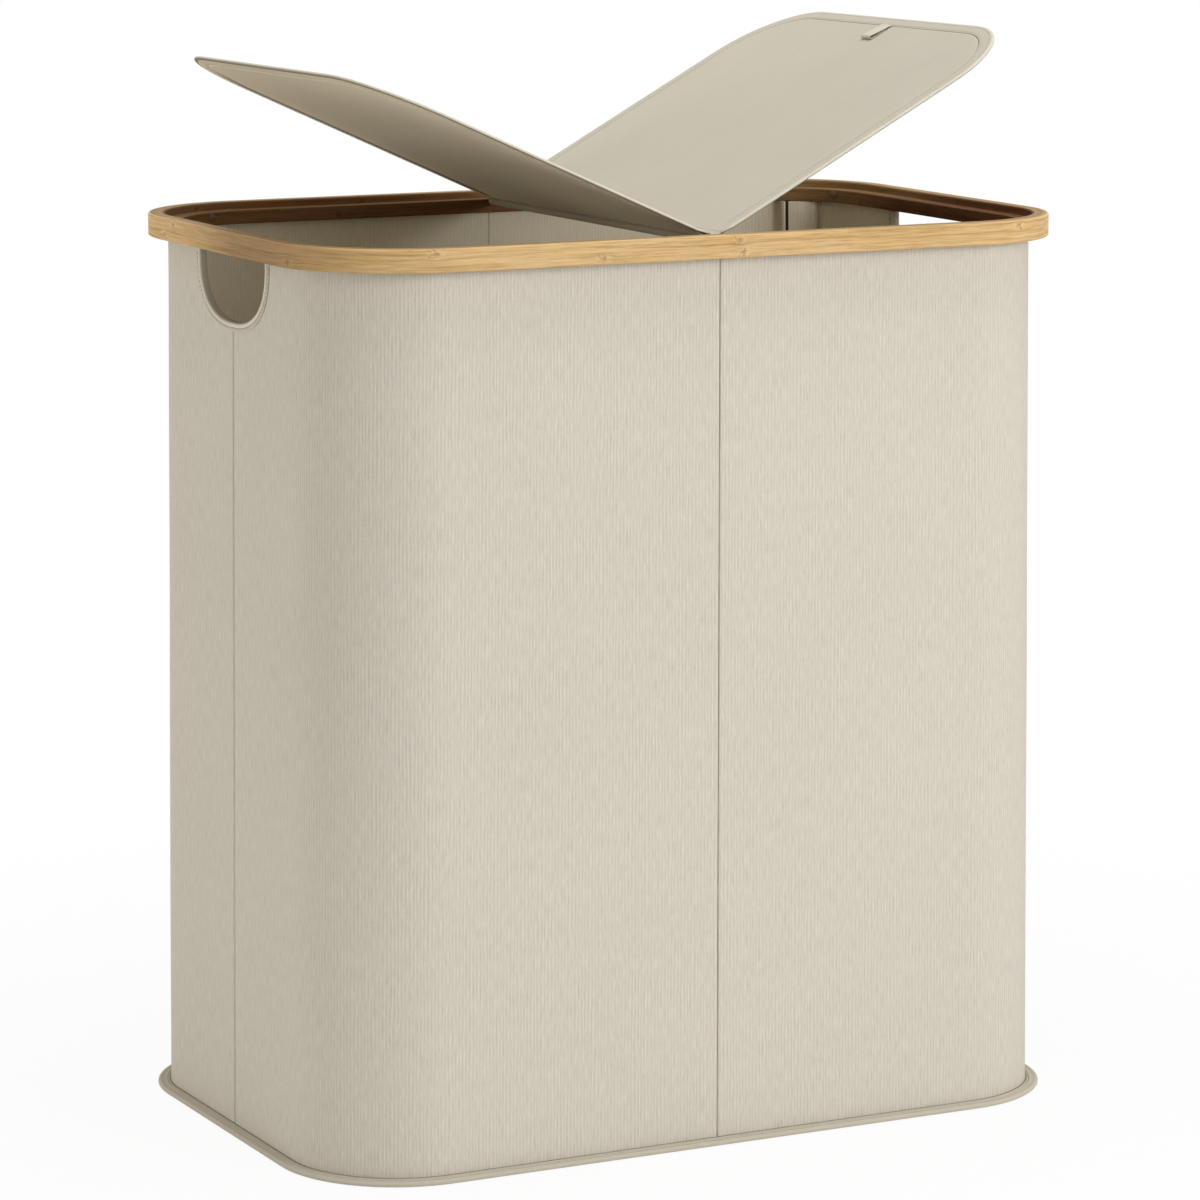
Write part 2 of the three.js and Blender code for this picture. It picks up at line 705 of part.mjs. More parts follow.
// One lid, on its fold line and raised to its resting angle
function lid(prefix, side, angle) {
  const group = new THREE.Group();
  const boardSheet = lidSheet(LID_BOARD_START, coverInset + GAP, lidBoardBase, LID_BOARD_THICKNESS);
  group.add(
    mesh(`${prefix}_lid_board`, boardSheet, board),
    mesh(`${prefix}_lid_cover`, lidSheet(0, coverInset, lidCoverBase, LID_COVER_THICKNESS), fabric),
    mesh(`${prefix}_lid_lining`, lidLining(), fabric),
    mesh(`${prefix}_lid_binding`, lidBinding(), trim),
    mesh(`${prefix}_lid_pull_tab`, pullTab(), trim),
  );
  const facing = new THREE.Group();
  facing.add(group);
  group.rotation.y = -radians(angle);
  facing.rotation.z = side > 0 ? 0 : Math.PI;
  facing.position.set(side * HINGE_OFFSET, 0, HINGE_Z);
  return facing;
}

const hamper = new THREE.Group();
hamper.add(
  mesh('rim_outer_ring', outerRing(), bamboo),
  mesh('rim_inner_ring', innerRing(), bamboo),
  mesh('bottom_cover', baseSheet(flangeInset + FLANGE_EDGE_WIDTH + GAP, 0, BOTTOM_COVER_THICKNESS), fabric),
  mesh('base_flange', baseFlange(), trim),
  mesh('base_board', baseSheet(
    WALL_INNER_INSET + GAP,
    BOTTOM_COVER_THICKNESS + GAP,
    BASE_BOARD_THICKNESS,
  ), board),
  mesh('bottom_lining', baseSheet(
    WALL_INNER_INSET + GAP,
    FLOOR_INSIDE - BOTTOM_LINING_THICKNESS,
    BOTTOM_LINING_THICKNESS,
  ), fabric),
  mesh('divider', divider(), fabric),
  mesh('divider_binding', dividerBinding(), trim),
  mesh('hinge_rod', hingeRod(), steel),
  mesh('hinge_sleeve', hingeSleeve(), fabric),
);

for (const place of screwPlaces()) hamper.add(mesh(place.name, rimScrew(place), bronze));

for (const [sideX, endName] of [[-1, 'left'], [1, 'right']]) {
  for (const [sideY, faceName] of [[-1, 'front'], [1, 'back']]) {
    const place = `${faceName}_${endName}`;
    hamper.add(
      mesh(`cover_${place}`, wallQuarter(sideX, sideY, BODY_INSET, COVER_THICKNESS), fabric),
      mesh(
        `interlining_${place}`,
        wallQuarter(sideX, sideY, INTERLINING_INSET, INTERLINING_THICKNESS),
        felt,
      ),
      mesh(`lining_${place}`, wallQuarter(sideX, sideY, LINING_INSET, LINING_THICKNESS), fabric),
      mesh(`rod_sleeve_${place}`, rodSleeve(sideX, sideY), fabric),
      mesh(`support_rod_${place}`, supportRod(sideX, sideY), steel),
    );
  }
  hamper.add(mesh(`handle_binding_${endName}`, handleBinding(sideX), trim));
}

hamper.add(lid('left', -1, LEFT_LID_ANGLE), lid('right', 1, RIGHT_LID_ANGLE));

export default hamper;
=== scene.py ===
import math

import bmesh
import bpy
import numpy as np
from mathutils import Matrix, Vector

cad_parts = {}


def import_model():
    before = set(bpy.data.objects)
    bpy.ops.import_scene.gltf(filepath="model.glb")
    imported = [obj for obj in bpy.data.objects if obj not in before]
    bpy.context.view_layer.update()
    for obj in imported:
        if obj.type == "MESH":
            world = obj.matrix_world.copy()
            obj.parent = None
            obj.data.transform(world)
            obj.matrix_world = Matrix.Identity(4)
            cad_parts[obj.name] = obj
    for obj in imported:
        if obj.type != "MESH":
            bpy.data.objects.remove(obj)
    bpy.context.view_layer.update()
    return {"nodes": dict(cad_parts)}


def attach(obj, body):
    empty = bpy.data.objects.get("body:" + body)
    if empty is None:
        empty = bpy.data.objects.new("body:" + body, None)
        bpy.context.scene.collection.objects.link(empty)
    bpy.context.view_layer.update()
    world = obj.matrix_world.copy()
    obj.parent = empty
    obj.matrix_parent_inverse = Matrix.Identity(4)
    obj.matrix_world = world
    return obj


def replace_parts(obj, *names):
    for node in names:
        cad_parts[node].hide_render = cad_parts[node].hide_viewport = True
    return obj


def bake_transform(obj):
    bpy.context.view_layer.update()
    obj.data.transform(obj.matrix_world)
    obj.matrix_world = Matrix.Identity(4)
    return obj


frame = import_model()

MM = 0.001

# Rim outline and section, in millimetres as in the part's source
RIM_LENGTH = 602
RIM_DEPTH = 404
RIM_RADIUS = 96.5
RIM_TOP = 651
RIM_BOTTOM = 634.5
LEDGE_Z = 645.6
LIP_WIDTH = 12
RIM_EDGE_RADIUS = 1.5
SHELF_UNDERSIDE = 638.8
INNER_RING_INSET = 18.8
INNER_RING_WIDTH = 5.2
INNER_RING_BOTTOM = 635.5
HALF_LENGTH = RIM_LENGTH / 2
HALF_DEPTH = RIM_DEPTH / 2
CORNER_X = HALF_LENGTH - RIM_RADIUS
CORNER_Y = HALF_DEPTH - RIM_RADIUS

# Wall layers, as insets from the rim's outer edge
BODY_INSET = 14.4
COVER_BACK = 15.4
FELT_INSET = 15.7
FELT_BACK = 17.5
LINING_INSET = 17.8
LINING_FACE = 18.5
WALL_TOP = 638.5
WALL_FOOT = 4.4
FLARE_X = 7.3
FLARE_Y = 0.9
SEAM_FOLD = 0.22
GAP = 0.3

# Handle openings
HANDLE_HALF_WIDTH = 60
HANDLE_DROP = 46
HANDLE_EXPONENT = 2.4
HANDLE_STEPS = 26
HANDLE_START = RIM_BOTTOM - 5
BINDING_THICKNESS = 0.8
BINDING_WIDTH = 5

# Base
FLANGE_INSET = 4.8
FLANGE_HEIGHT = 4
BASE_TOP = 2.7
FLOOR_BOTTOM = 7.0
FLOOR_TOP = 7.8

# Rod sleeves, with radii and degrees round the corner's centre
ROD_RADIUS = 2.5
SLEEVE_BACK = RIM_RADIUS - LINING_FACE - GAP
ROD_ANGLE = 53.5
SLEEVE_START = 34.5
SLEEVE_END = 61.5
SLEEVE_EDGE = 1.0
SLEEVE_SLIT = 2.4
SLEEVE_LIP_DEGREES = 2
SLEEVE_PANEL_STEPS = 24
SLEEVE_RAMP_STEPS = 12
SLEEVE_SEWN_CORNER = -6
SLEEVE_TOP = INNER_RING_BOTTOM - GAP

# Divider
DIVIDER_HALF = 1.5
DIVIDER_TOP = 596
DIVIDER_TAPE = 9
DIVIDER_SPAN = 180

# Lids and their fold
LID_LENGTH = 285.3
LID_STRAIGHT = 22
LID_ARC = 14
LID_END = 24
LID_HALF_DEPTH = 180.5
LID_RADIUS = 69
LID_BASE = -2.95
LID_THICKNESS = 3.2
LID_SKIN = 0.5
LID_BINDING = 2.6
LID_GROOVE = 11.6
LID_GROOVE_WIDTH = 0.42
LID_EDGE_THINNING = 0.38
LID_FOLD_THICKNESS = 1.15
LID_UNDER_START = 4.0
LID_STITCH_INSET = 9.6
FOLD_REACH = 4.2
HINGE_OFFSET = 1.1
HINGE_Z = 648.85
LID_ANGLES = {"left": 23.9, "right": 28.4}
HINGE_ROD_Z = 644.5
HINGE_ROD_RADIUS = 2
SLOT_Z = 647.2
HINGE_SLEEVE_RADIUS = 3.1
HINGE_REACH = 178

# Pull tabs
TAB_WIDTH = 14
TAB_FAR = LID_LENGTH - 11
TAB_NEAR = TAB_FAR - 22.5
TAB_SKIN = 0.26

# Steps round a corner, and the height at which lengths along the wall are measured
CORNER_STEPS = 24
MEASURED_AT = 300

# Colours, linear
COVER_COLOR = (0.665, 0.625, 0.546)
FLANGE_COLOR = (0.585, 0.54, 0.44)
# The lining's own colour, set lighter than the cover's as painted light for the shade inside
LINING_COLOR = (0.82, 0.745, 0.588)
LID_COLOR = (0.60, 0.555, 0.462)
# Set lighter than the lid's top cloth, as painted light for the shade under the lids
UNDER_COLOR = (0.79, 0.70, 0.53)
TAPE_COLOR = (0.70, 0.66, 0.56)
FELT_COLOR = (0.45, 0.42, 0.35)
BOARD_COLOR = (0.27, 0.22, 0.14)
STEEL_COLOR = (0.04, 0.04, 0.04)
THREAD_COLOR = (0.52, 0.48, 0.385)
BRONZE_COLOR = (0.16, 0.105, 0.068)
BAMBOO_LIGHT = (0.74, 0.515, 0.26)
BAMBOO_DARK = (0.46, 0.275, 0.10)
BAMBOO_GOLD = (0.68, 0.43, 0.16)
NODE_PALE = (0.82, 0.61, 0.35)
NODE_DARK = (0.32, 0.16, 0.06)
STAIN = (0.38, 0.235, 0.17)
# Painted shade on the rim's left end
PAINTED_END_SHADE = (0.52, 0.46, 0.39)
# Painted shade is made warmer by this colour where it is dark
PAINTED_SHADE_WARMTH = (1.0, 0.91, 0.76)

# Threads and bamboo, in metres, with places along the rim from the middle of the back
RIB_PITCH = 0.0026
WEFT_PITCH = 0.0011
STRIP_HEIGHT = 0.0086
NODE_PITCH = 0.21
RIM_GIRTH = 1.846
PAINTED_END_SHADE_AT = 0.52
# Painted light on the stained inner rim near the back-right corner
PAINTED_LIGHT_AT = 1.48
BAMBOO_SPECULAR = 0.16

# Studio floor and camera, in metres and degrees
FLOOR_REACH = 12.0
FLOOR_LEVEL = -0.0004
CAMERA_PLACE = (-1.60181, -3.16675, 0.97447)
CAMERA_YAW = 26.853
CAMERA_PITCH = 9.7525
CAMERA_LENS = 146.79


# Materials

class Field:
    """The value at a node's output, so that arithmetic on it adds nodes."""

    def __init__(self, nodes, socket):
        self.nodes = nodes
        self.socket = socket

    def __add__(self, other):
        return self.nodes.math("ADD", self, other)

    def __sub__(self, other):
        return self.nodes.math("SUBTRACT", self, other)

    def __mul__(self, other):
        return self.nodes.math("MULTIPLY", self, other)

    def __abs__(self):
        return self.nodes.math("ABSOLUTE", self)


class Nodes:
    """A node tree, with short calls that add to it."""

    def __init__(self, tree):
        self.tree = tree

    def link(self, source, target):
        """Feeds a socket from a field, or sets it to a number or a colour."""
        if isinstance(source, Field):
            self.tree.links.new(source.socket, target)
        else:
            target.default_value = (*source, 1.0) if isinstance(source, tuple) else source

    def add(self, kind, inputs=(), output=0, **settings):
        """One output of a new node, whose inputs are given in order or by name."""
        node = self.tree.nodes.new(f"ShaderNode{kind}")
        for name, value in settings.items():
            setattr(node, name, value)
        for key, value in inputs.items() if isinstance(inputs, dict) else enumerate(inputs):
            self.link(value, node.inputs[key])
        return Field(self, node.outputs[output])

    def math(self, operation, *values):
        return self.add("Math", values, operation=operation)

    def smooth(self, value, low, high, to_low=0.0, to_high=1.0):
        return self.add("MapRange", (value, low, high, to_low, to_high), interpolation_type="SMOOTHSTEP")


class Shade(Nodes):
    """A principled material."""

    def __init__(self, name, color, roughness, sheen=0.0, metallic=0.0, specular=0.5):
        self.material = bpy.data.materials.new(name)
        self.material.use_nodes = True
        super().__init__(self.material.node_tree)
        self.bsdf = next(n for n in self.tree.nodes if n.type == "BSDF_PRINCIPLED")
        self.set("Base Color", color)
        self.set("Roughness", roughness)
        self.set("Metallic", metallic)
        self.set("Specular IOR Level", specular)
        self.set("Sheen Weight", sheen)
        self.set("Sheen Roughness", 0.5)

    def set(self, name, value):
        self.link(value, self.bsdf.inputs[name])

    def parts(self, vector):
        split = self.tree.nodes.new("ShaderNodeSeparateXYZ")
        self.link(vector, split.inputs[0])
        return [Field(self, part) for part in split.outputs]

    def uv(self):
        return self.parts(self.add("UVMap", uv_map="Cloth"))[:2]

    def sine(self, value):
        return self.math("SINE", value)

    def floor(self, value):
        return self.math("FLOOR", value)

    def fraction(self, value):
        return self.math("FRACT", value)

    def noise(self, x, y, z=0.0, detail=2.0, roughness=0.5):
        point = self.add("CombineXYZ", (x, y, z))
        return self.add("TexNoise", {"Vector": point, "Scale": 1, "Detail": detail, "Roughness": roughness})

    def space_noise(self, scales, detail, roughness=0.5):
        """Noise in the object's own space, with a scale for each direction."""
        place = self.parts(self.add("TexCoord", output="Object"))
        return self.noise(*(p * scale for p, scale in zip(place, scales)), detail=detail, roughness=roughness)

    def mix(self, share, a, b):
        return self.add("Mix", {0: share, 6: a, 7: b}, 2, data_type="RGBA")

    def brightness(self, color, factor):
        return self.add("Mix", {0: 1, 6: color, 7: factor}, 2, data_type="RGBA", blend_type="MULTIPLY")

    def with_painted_shade(self, color, tone):
        """The colour times the tone and times the painted shade and painted highlights stored on the mesh,
        made warmer where the painted shade is dark.
        """
        seam = self.add("Attribute", output="Fac", attribute_name="Seam") + 1.0
        plain = self.brightness(color, tone * seam)
        return self.mix(self.smooth(seam, 0.3, 0.9, 1.0, 0.0), plain, self.brightness(plain, PAINTED_SHADE_WARMTH))

    def finish(self, color, relief, depth, roughness=None):
        """The material with this colour, and with a relief whose height is depth in metres."""
        self.set("Base Color", color)
        self.set("Normal", self.add("Bump", {"Strength": 1.0, "Distance": depth, "Height": relief}))
        if roughness is not None:
            self.set("Roughness", roughness)
        return self.material


def slub_cloth(name, color, contrast=1.0):
    """Cloth with an upright slub: uneven ribs, short thick threads, and a faint cloudiness."""
    s = Shade(name, color, 0.92, sheen=0.12, specular=0.25)
    u, v = s.uv()
    wander = s.noise(u * 130, v * 12, detail=1)
    strength = s.smooth(s.noise(u * 55, v * 22, 3.0, detail=3), 0.34, 0.66, 0.4, 1.0)
    ribs = s.sine(u * (math.tau / RIB_PITCH) + wander * 6) * 0.5 * strength
    slubs = s.noise(u * 900, v * 85, roughness=0.6) - 0.5
    grain = s.noise(u * 1500, v * 1300, 5.0) - 0.5
    cloud = s.noise(u * 9, v * 7, 8.0, detail=4) - 0.5
    weft = s.sine(v * (math.tau / WEFT_PITCH))
    tone = (ribs * 0.15 + slubs * 0.4 + grain * 0.3 + cloud * 0.06) * contrast + 1.0
    relief = ribs * 0.5 + slubs + grain * 1.2 + weft * 0.07
    return s.finish(s.with_painted_shade(color, tone), relief, 0.00022 * contrast)


def plain_cloth(name, color, thread=0.0009, sheen=0.12):
    """Plain weave: two sets of fine threads of uneven thickness, with a soft cloudiness."""
    s = Shade(name, color, 0.93, sheen=sheen, specular=0.22)
    u, v = s.uv()
    uneven = s.noise(u * 240, v * 240) * 5
    turns = math.tau / thread
    weave = s.sine(u * turns + uneven) * s.sine(v * turns + uneven)
    fibre = s.noise(u * 900, v * 700, 2.0, detail=3) - 0.5
    streak = s.noise(u * 330, v * 24, 6.0) - 0.5
    cloud = s.noise(u * 14, v * 11, 9.0, detail=4) - 0.5
    tone = weave * 0.012 + fibre * 0.09 + streak * 0.07 + cloud * 0.08 + 1.0
    return s.finish(s.with_painted_shade(color, tone), weave * 0.35 + fibre + streak * 0.5, 0.00016)


def bamboo(name, stain_edge):
    """Laminated bamboo strips that run along u, with nodes. v beyond stain_edge is stained dark."""
    s = Shade(name, BAMBOO_LIGHT, 0.55, specular=BAMBOO_SPECULAR)
    u, v = s.uv()

    # Each strip, and the node nearest to a point on it
    level = v * (1 / STRIP_HEIGHT) - 0.1
    strip = s.floor(level)
    across = s.fraction(level) - 0.5
    along = u * (1 / NODE_PITCH) + strip * 0.37
    chance = s.fraction(s.sine(s.floor(along) * 12.9898 + strip * 78.233) * 437.585)
    kind = s.fraction(chance * 37.7)
    du = (s.fraction(along) - (chance * 0.7 + 0.15)) * NODE_PITCH
    dv = across * STRIP_HEIGHT
    flat = du * 0.55
    far = s.math("SQRT", flat * flat + dv * dv)

    # Grain, which bends round the nodes
    swell = s.smooth(far, 0.001, 0.007, 1.0, 0.0) * s.sine(across * 2.6)
    wander = s.noise(u * 16, v * 60, 2.0) - 0.5
    bent = v + swell * -0.0019 + wander * 0.0024
    fine = s.noise(u * 46, bent * 1500, detail=3, roughness=0.7)
    broad = s.noise(u * 12, bent * 560, 4.0, detail=3, roughness=0.55)
    tint = s.noise(u * 7, strip * 3.7, 7.0)
    grain = fine * 0.6 + broad * 0.55 + tint * 0.3
    color = s.mix(s.smooth(grain, 0.6, 0.92), BAMBOO_LIGHT, BAMBOO_DARK)
    gold = s.noise(u * 16, bent * 380, 9.0)
    color = s.mix(s.smooth(gold, 0.5, 0.72, 0.0, 0.55), color, BAMBOO_GOLD)

    # Node marks: two broken lines and a dark eye in a pale patch
    inside = s.smooth(abs(across), 0.3, 0.46, 1.0, 0.0)
    wobble = (s.noise(u * 420, v * 520, 6.0, detail=3) - 0.5) * 0.0052
    reach = du + abs(dv) * (kind * 2.4 - 1.2) + wobble
    first = s.smooth(abs(reach - 0.0011), 0.0001, 0.0013, 1.0, 0.0)
    second = s.smooth(abs(reach + 0.0021), 0.0001, 0.0011, 0.6, 0.0)
    broken = s.smooth(s.noise(u * 800, v * 1000, 3.0, detail=1), 0.38, 0.6)
    line = s.math("MAXIMUM", first, second) * inside * broken
    pale = s.smooth(far + wobble, 0.0006, 0.0042, 1.0, 0.0) * inside
    eye = s.smooth(far + wobble * 0.5, 0.0003, 0.0021, 0.6, 0.0)
    color = s.mix(pale * 0.45, color, NODE_PALE)
    color = s.mix(s.math("MAXIMUM", line * 0.92, eye), color, NODE_DARK)
    color = s.mix(s.smooth(abs(across), 0.475, 0.5) * 0.22, color, BAMBOO_DARK)

    # Painted shade on the top and on the left end, and the dark stain inside, painted lighter near the
    # back-right corner and along the back
    top = (stain_edge - 0.0095, stain_edge - 0.0085)
    s.set("Specular IOR Level", s.smooth(v, *top, BAMBOO_SPECULAR, 0.04))
    # Painted shade on the top face and on everything inward of it
    color = s.brightness(color, s.smooth(v, *top, 1.0, 0.58))
    # Painted shade on the rim's left end
    painted_end_shade = s.smooth(abs(u - PAINTED_END_SHADE_AT), 0.02, 0.15, 1.0, 0.0)
    color = s.mix(painted_end_shade, color, s.brightness(color, PAINTED_END_SHADE))
    stain_and_painted_light = s.smooth(v, stain_edge - 0.0006, stain_edge + 0.0008)
    # Painted light: the stain is lighter near the back-right corner and along the back
    stain_and_painted_light = stain_and_painted_light * s.smooth(abs(u - PAINTED_LIGHT_AT), 0.06, 0.17, 0.58, 1.0)
    stain_and_painted_light = stain_and_painted_light * s.smooth(abs(u - RIM_GIRTH / 2), 0.45, 0.65, 1.0, 0.78)
    color = s.mix(stain_and_painted_light, color, s.brightness(color, STAIN))
    return s.finish(color, (grain + line) * -0.5, 0.0001, s.smooth(grain, 0.4, 1.0, 0.48, 0.62))


def mottled(name, color, roughness, scales, octaves, tones, depth, sheen=0.0, specular=0.3):
    """A colour that varies with noise in the object's own space, and a relief that follows it."""
    s = Shade(name, color, roughness, sheen=sheen, specular=specular)
    noise = s.space_noise(scales, *octaves)
    return s.finish(s.brightness(color, s.smooth(noise, *tones)), noise, depth)


def coated_metal(name, color, worn, metallic=0.3, specular=0.5):
    s = Shade(name, color, 0.42, metallic=metallic, specular=specular)
    speckle = s.space_noise((1600, 1600, 1600), 2)
    wear = s.space_noise((190, 190, 60), 4, 0.7)
    tone = s.mix(s.smooth(wear, 0.6, 0.74), color, worn)
    return s.finish(tone, speckle, 0.00006, s.smooth(wear, 0.3, 0.8, 0.34, 0.56))


cover_cloth = slub_cloth("cover_cloth", COVER_COLOR)
lining_cloth = slub_cloth("lining_cloth", LINING_COLOR, contrast=0.65)
lid_cloth = plain_cloth("lid_cloth", LID_COLOR)
tape_cloth = plain_cloth("tape_cloth", TAPE_COLOR, thread=0.0007, sheen=0.04)
flange_cloth = plain_cloth("flange_cloth", FLANGE_COLOR, thread=0.0008)
under_cloth = plain_cloth("under_cloth", UNDER_COLOR)
outer_bamboo = bamboo("outer_bamboo", 0.0272)
inner_bamboo = bamboo("inner_bamboo", -0.001)
felt_cloth = mottled("stiff_felt", FELT_COLOR, 1.0, (700, 700, 700), (4, 0.7),
                     (0.25, 0.75, 0.8, 1.15), 0.0003, sheen=0.2, specular=0.1)
board_wood = mottled("fibreboard", BOARD_COLOR, 0.85, (420, 300, 900), (4, 0.65),
                     (0.3, 0.7, 0.75, 1.2), 0.0001)
dark_steel = coated_metal("coated_steel", STEEL_COLOR, (0.12, 0.115, 0.11))
bronze = coated_metal("bronze", BRONZE_COLOR, (0.2, 0.135, 0.09), 0.1, 0.2)
sewing_thread = mottled("sewing_thread", THREAD_COLOR, 0.7, (2600, 2600, 2600), (1,),
                        (0.3, 0.7, 0.86, 1.1), 0.00008, sheen=0.1, specular=0.4)

CAD_FINISHES = {"board": board_wood, "screw": bronze, "rod": dark_steel, "": felt_cloth}

for node_name, node_object in frame["nodes"].items():
    cad_finish = next(finish for word, finish in CAD_FINISHES.items() if word in node_name)
    node_object.data.materials.clear()
    node_object.data.materials.append(cad_finish)


# Meshes

def lengths_along(points):
    """The distance along a line of points, at each of them."""
    steps = np.linalg.norm(np.diff(np.array(points, float), axis=0), axis=1)
    return np.concatenate([[0], np.cumsum(steps)])


def unit_normals(line):
    """The direction across a line in a plane, at each of its points."""
    turn = np.gradient(line, axis=0)
    normals = np.stack([-turn[:, 1], turn[:, 0]], axis=1)
    return normals / np.linalg.norm(normals, axis=1)[:, None]


def spread(low, high, count):
    """Even values from low to high, with count steps between them."""
    return [low + (high - low) * i / count for i in range(count + 1)]


def flattened(rings):
    return [point for ring in rings for point in ring]


def placed(name, data):
    """A new object in the scene."""
    obj = bpy.data.objects.new(name, data)
    bpy.context.scene.collection.objects.link(obj)
    return obj


def build(name, points, faces, uvs, material, body, smooth_angle=40, seam=None):
    """A mesh object from points in millimetres, with a UV and a tone of painted shade and painted highlight
    for each point.
    """
    data = bpy.data.meshes.new(name)
    data.from_pydata([(x * MM, y * MM, z * MM) for x, y, z in points], [], faces)
    layer = data.uv_layers.new(name="Cloth")
    flat = np.array(uvs, float) * MM
    corners = np.zeros(len(data.loops), np.int32)
    data.loops.foreach_get("vertex_index", corners)
    layer.data.foreach_set("uv", flat[corners].astype(np.float32).ravel())
    # seam holds painted shade and painted highlights, one value a point
    if seam is not None:
        tone = data.attributes.new("Seam", "FLOAT", "POINT")
        tone.data.foreach_set("value", np.array(seam, np.float32))
    data.materials.append(material)
    obj = placed(name, data)
    work = bmesh.new()
    work.from_mesh(data)
    bmesh.ops.recalc_face_normals(work, faces=work.faces)
    for edge in work.edges:
        if len(edge.link_faces) == 2:
            edge.smooth = edge.calc_face_angle(0) < math.radians(smooth_angle)
    for face in work.faces:
        face.smooth = True
    work.to_mesh(data)
    work.free()
    if body:
        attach(obj, body)
    return obj


def loft(rings, closed_path):
    """Faces that join rings of points in turn, with flat ends where the path is open."""
    count = len(rings[0])
    faces = []
    spans = len(rings) if closed_path else len(rings) - 1
    for i in range(spans):
        near = i * count
        far = ((i + 1) % len(rings)) * count
        for k in range(count):
            after = (k + 1) % count
            faces.append((near + k, far + k, far + after, near + after))
    if not closed_path:
        last = (len(rings) - 1) * count
        faces.append(tuple(range(count)))
        faces.append(tuple(reversed(range(last, last + count))))
    return faces


def closed_sheet(front, half):
    """Faces of a closed sheet, from those of its front and the number of points on it."""
    rim = {}
    for face in front:
        for a, b in zip(face, face[1:] + face[:1]):
            if rim.pop((b, a), None) is None:
                rim[a, b] = (b, a, a + half, b + half)
    back = [tuple(corner + half for corner in reversed(face)) for face in front]
    return front + back + list(rim.values())


def swept(name, stations, section, place, closed, material, body, angle=40, tone=None):
    """A section carried along stations. Its UV runs along the path and round the section, and tone gives its
    painted shade.
    """
    rings = [[place(station, corner) for corner in section] for station in stations]
    along = lengths_along([np.mean(np.array(ring), axis=0) for ring in rings])
    across = lengths_along(section)
    uvs = [(a, b) for a in along for b in across]
    seam = [tone(station, corner) for station in stations for corner in section] if tone else None
    return build(name, flattened(rings), loft(rings, closed), uvs, material, body, angle, seam)


def drop(z):
    """0 at the top of the wall and 1 at the floor, as the wall flares out."""
    return max(0.0, 1 - z / WALL_TOP)


FINE_STEPS = (0, 0.2, 0.45, 0.75, 1.1, 1.5, 2.0, 2.6, 3.4, 4.6, 7.5, 12.5, 20)
COLUMN_WIDTH = 12


def graded(edge, far):
    """Distances from a seam that start with fine steps and go on evenly to far."""
    values = [edge + s for s in FINE_STEPS if s < far - edge - 4]
    count = max(1, round((far - values[-1]) / COLUMN_WIDTH))
    return values + spread(values[-1], far, count)[1:]


def quarter(seam=GAP / 2, end_columns=None):
    """Stations of one quarter of the outline, from the long wall's seam to the end wall's seam."""
    stations = [(x, HALF_DEPTH, 0.0, 1.0, x / CORNER_X, 1.0) for x in graded(seam, CORNER_X)]
    for angle in spread(math.pi / 2, 0, CORNER_STEPS)[1:-1]:
        nx, ny = math.cos(angle), math.sin(angle)
        stations.append((CORNER_X + RIM_RADIUS * nx, CORNER_Y + RIM_RADIUS * ny, nx, ny, 1.0, 1.0))
    columns = end_columns or reversed(graded(seam, CORNER_Y))
    return stations + [(HALF_LENGTH, y, 1.0, 0.0, 1.0, y / CORNER_Y) for y in columns]


def mirrored(stations, side_x, side_y):
    return [(x * side_x, y * side_y, nx * side_x, ny * side_y, fx * side_x, fy * side_y)
            for x, y, nx, ny, fx, fy in stations]


def whole_outline():
    """The rim's outline from the middle of the back, by the left end."""
    parts = []
    for side_x, side_y, step in ((-1, 1, 1), (-1, -1, -1), (1, -1, 1), (1, 1, -1)):
        parts += mirrored(quarter(0), side_x, side_y)[::step][:-1]
    return parts


def wall_point(station, corner):
    """A corner (inset, height) of a section, at a station of the outline."""
    x, y, nx, ny, flare_x, flare_y = station
    inset, z = corner
    return (x - nx * inset + flare_x * FLARE_X * drop(z), y - ny * inset + flare_y * FLARE_Y * drop(z), z)


def arc(inset, z, radius, start, end, steps):
    """Points of a circle round (inset, z), from one angle to another in degrees."""
    angles = [math.radians(degrees) for degrees in spread(start, end, steps)]
    return [(inset + radius * math.cos(angle), z + radius * math.sin(angle)) for angle in angles]


def bump(value, middle, width, power=2):
    """1 where value is at the middle, and near 0 more than the width away from it."""
    return math.exp(-abs((value - middle) / width) ** power)


def smooth_step(value):
    value = min(1.0, max(0.0, value))
    return value * value * (3 - 2 * value)


# Stitches: short rounded threads laid end to end along a line

def stitches(name, line, up, body, pitch=3.4, length=2.5, radius=0.24, closed=False):
    """Threads along a line of points in millimetres, raised in the direction up."""
    line = np.array([*line, line[0]] if closed else line, float)
    reach = lengths_along(line)
    count = int(reach[-1] // pitch)
    profile = [(-0.5, 0.35), (-0.3, 0.95), (0.3, 0.95), (0.5, 0.35)]
    turns = spread(0, math.tau, 6)[:-1]
    points, faces = [], []

    def at(distance):
        return np.array([np.interp(distance, reach, axis) for axis in line.T])

    for i in range(count):
        middle = (i + 0.5) * reach[-1] / count
        forward = at(middle + 0.5) - at(middle - 0.5)
        forward /= np.linalg.norm(forward)
        side = np.cross(forward, up)
        side /= np.linalg.norm(side)
        rise = np.cross(side, forward)
        rings = []
        for t, r in profile:
            lift = radius * (0.55 if abs(t) < 0.4 else -0.15)
            centre = at(middle) + forward * t * length + rise * lift
            ways = [side * math.cos(turn) + rise * math.sin(turn) for turn in turns]
            rings.append([tuple(centre + way * radius * r) for way in ways])
        faces += [tuple(len(points) + k for k in face) for face in loft(rings, False)]
        points += flattened(rings)
    uvs = [(x, z) for x, _, z in points]
    build(name, points, faces, uvs, sewing_thread, body, 80)


# Bamboo rim

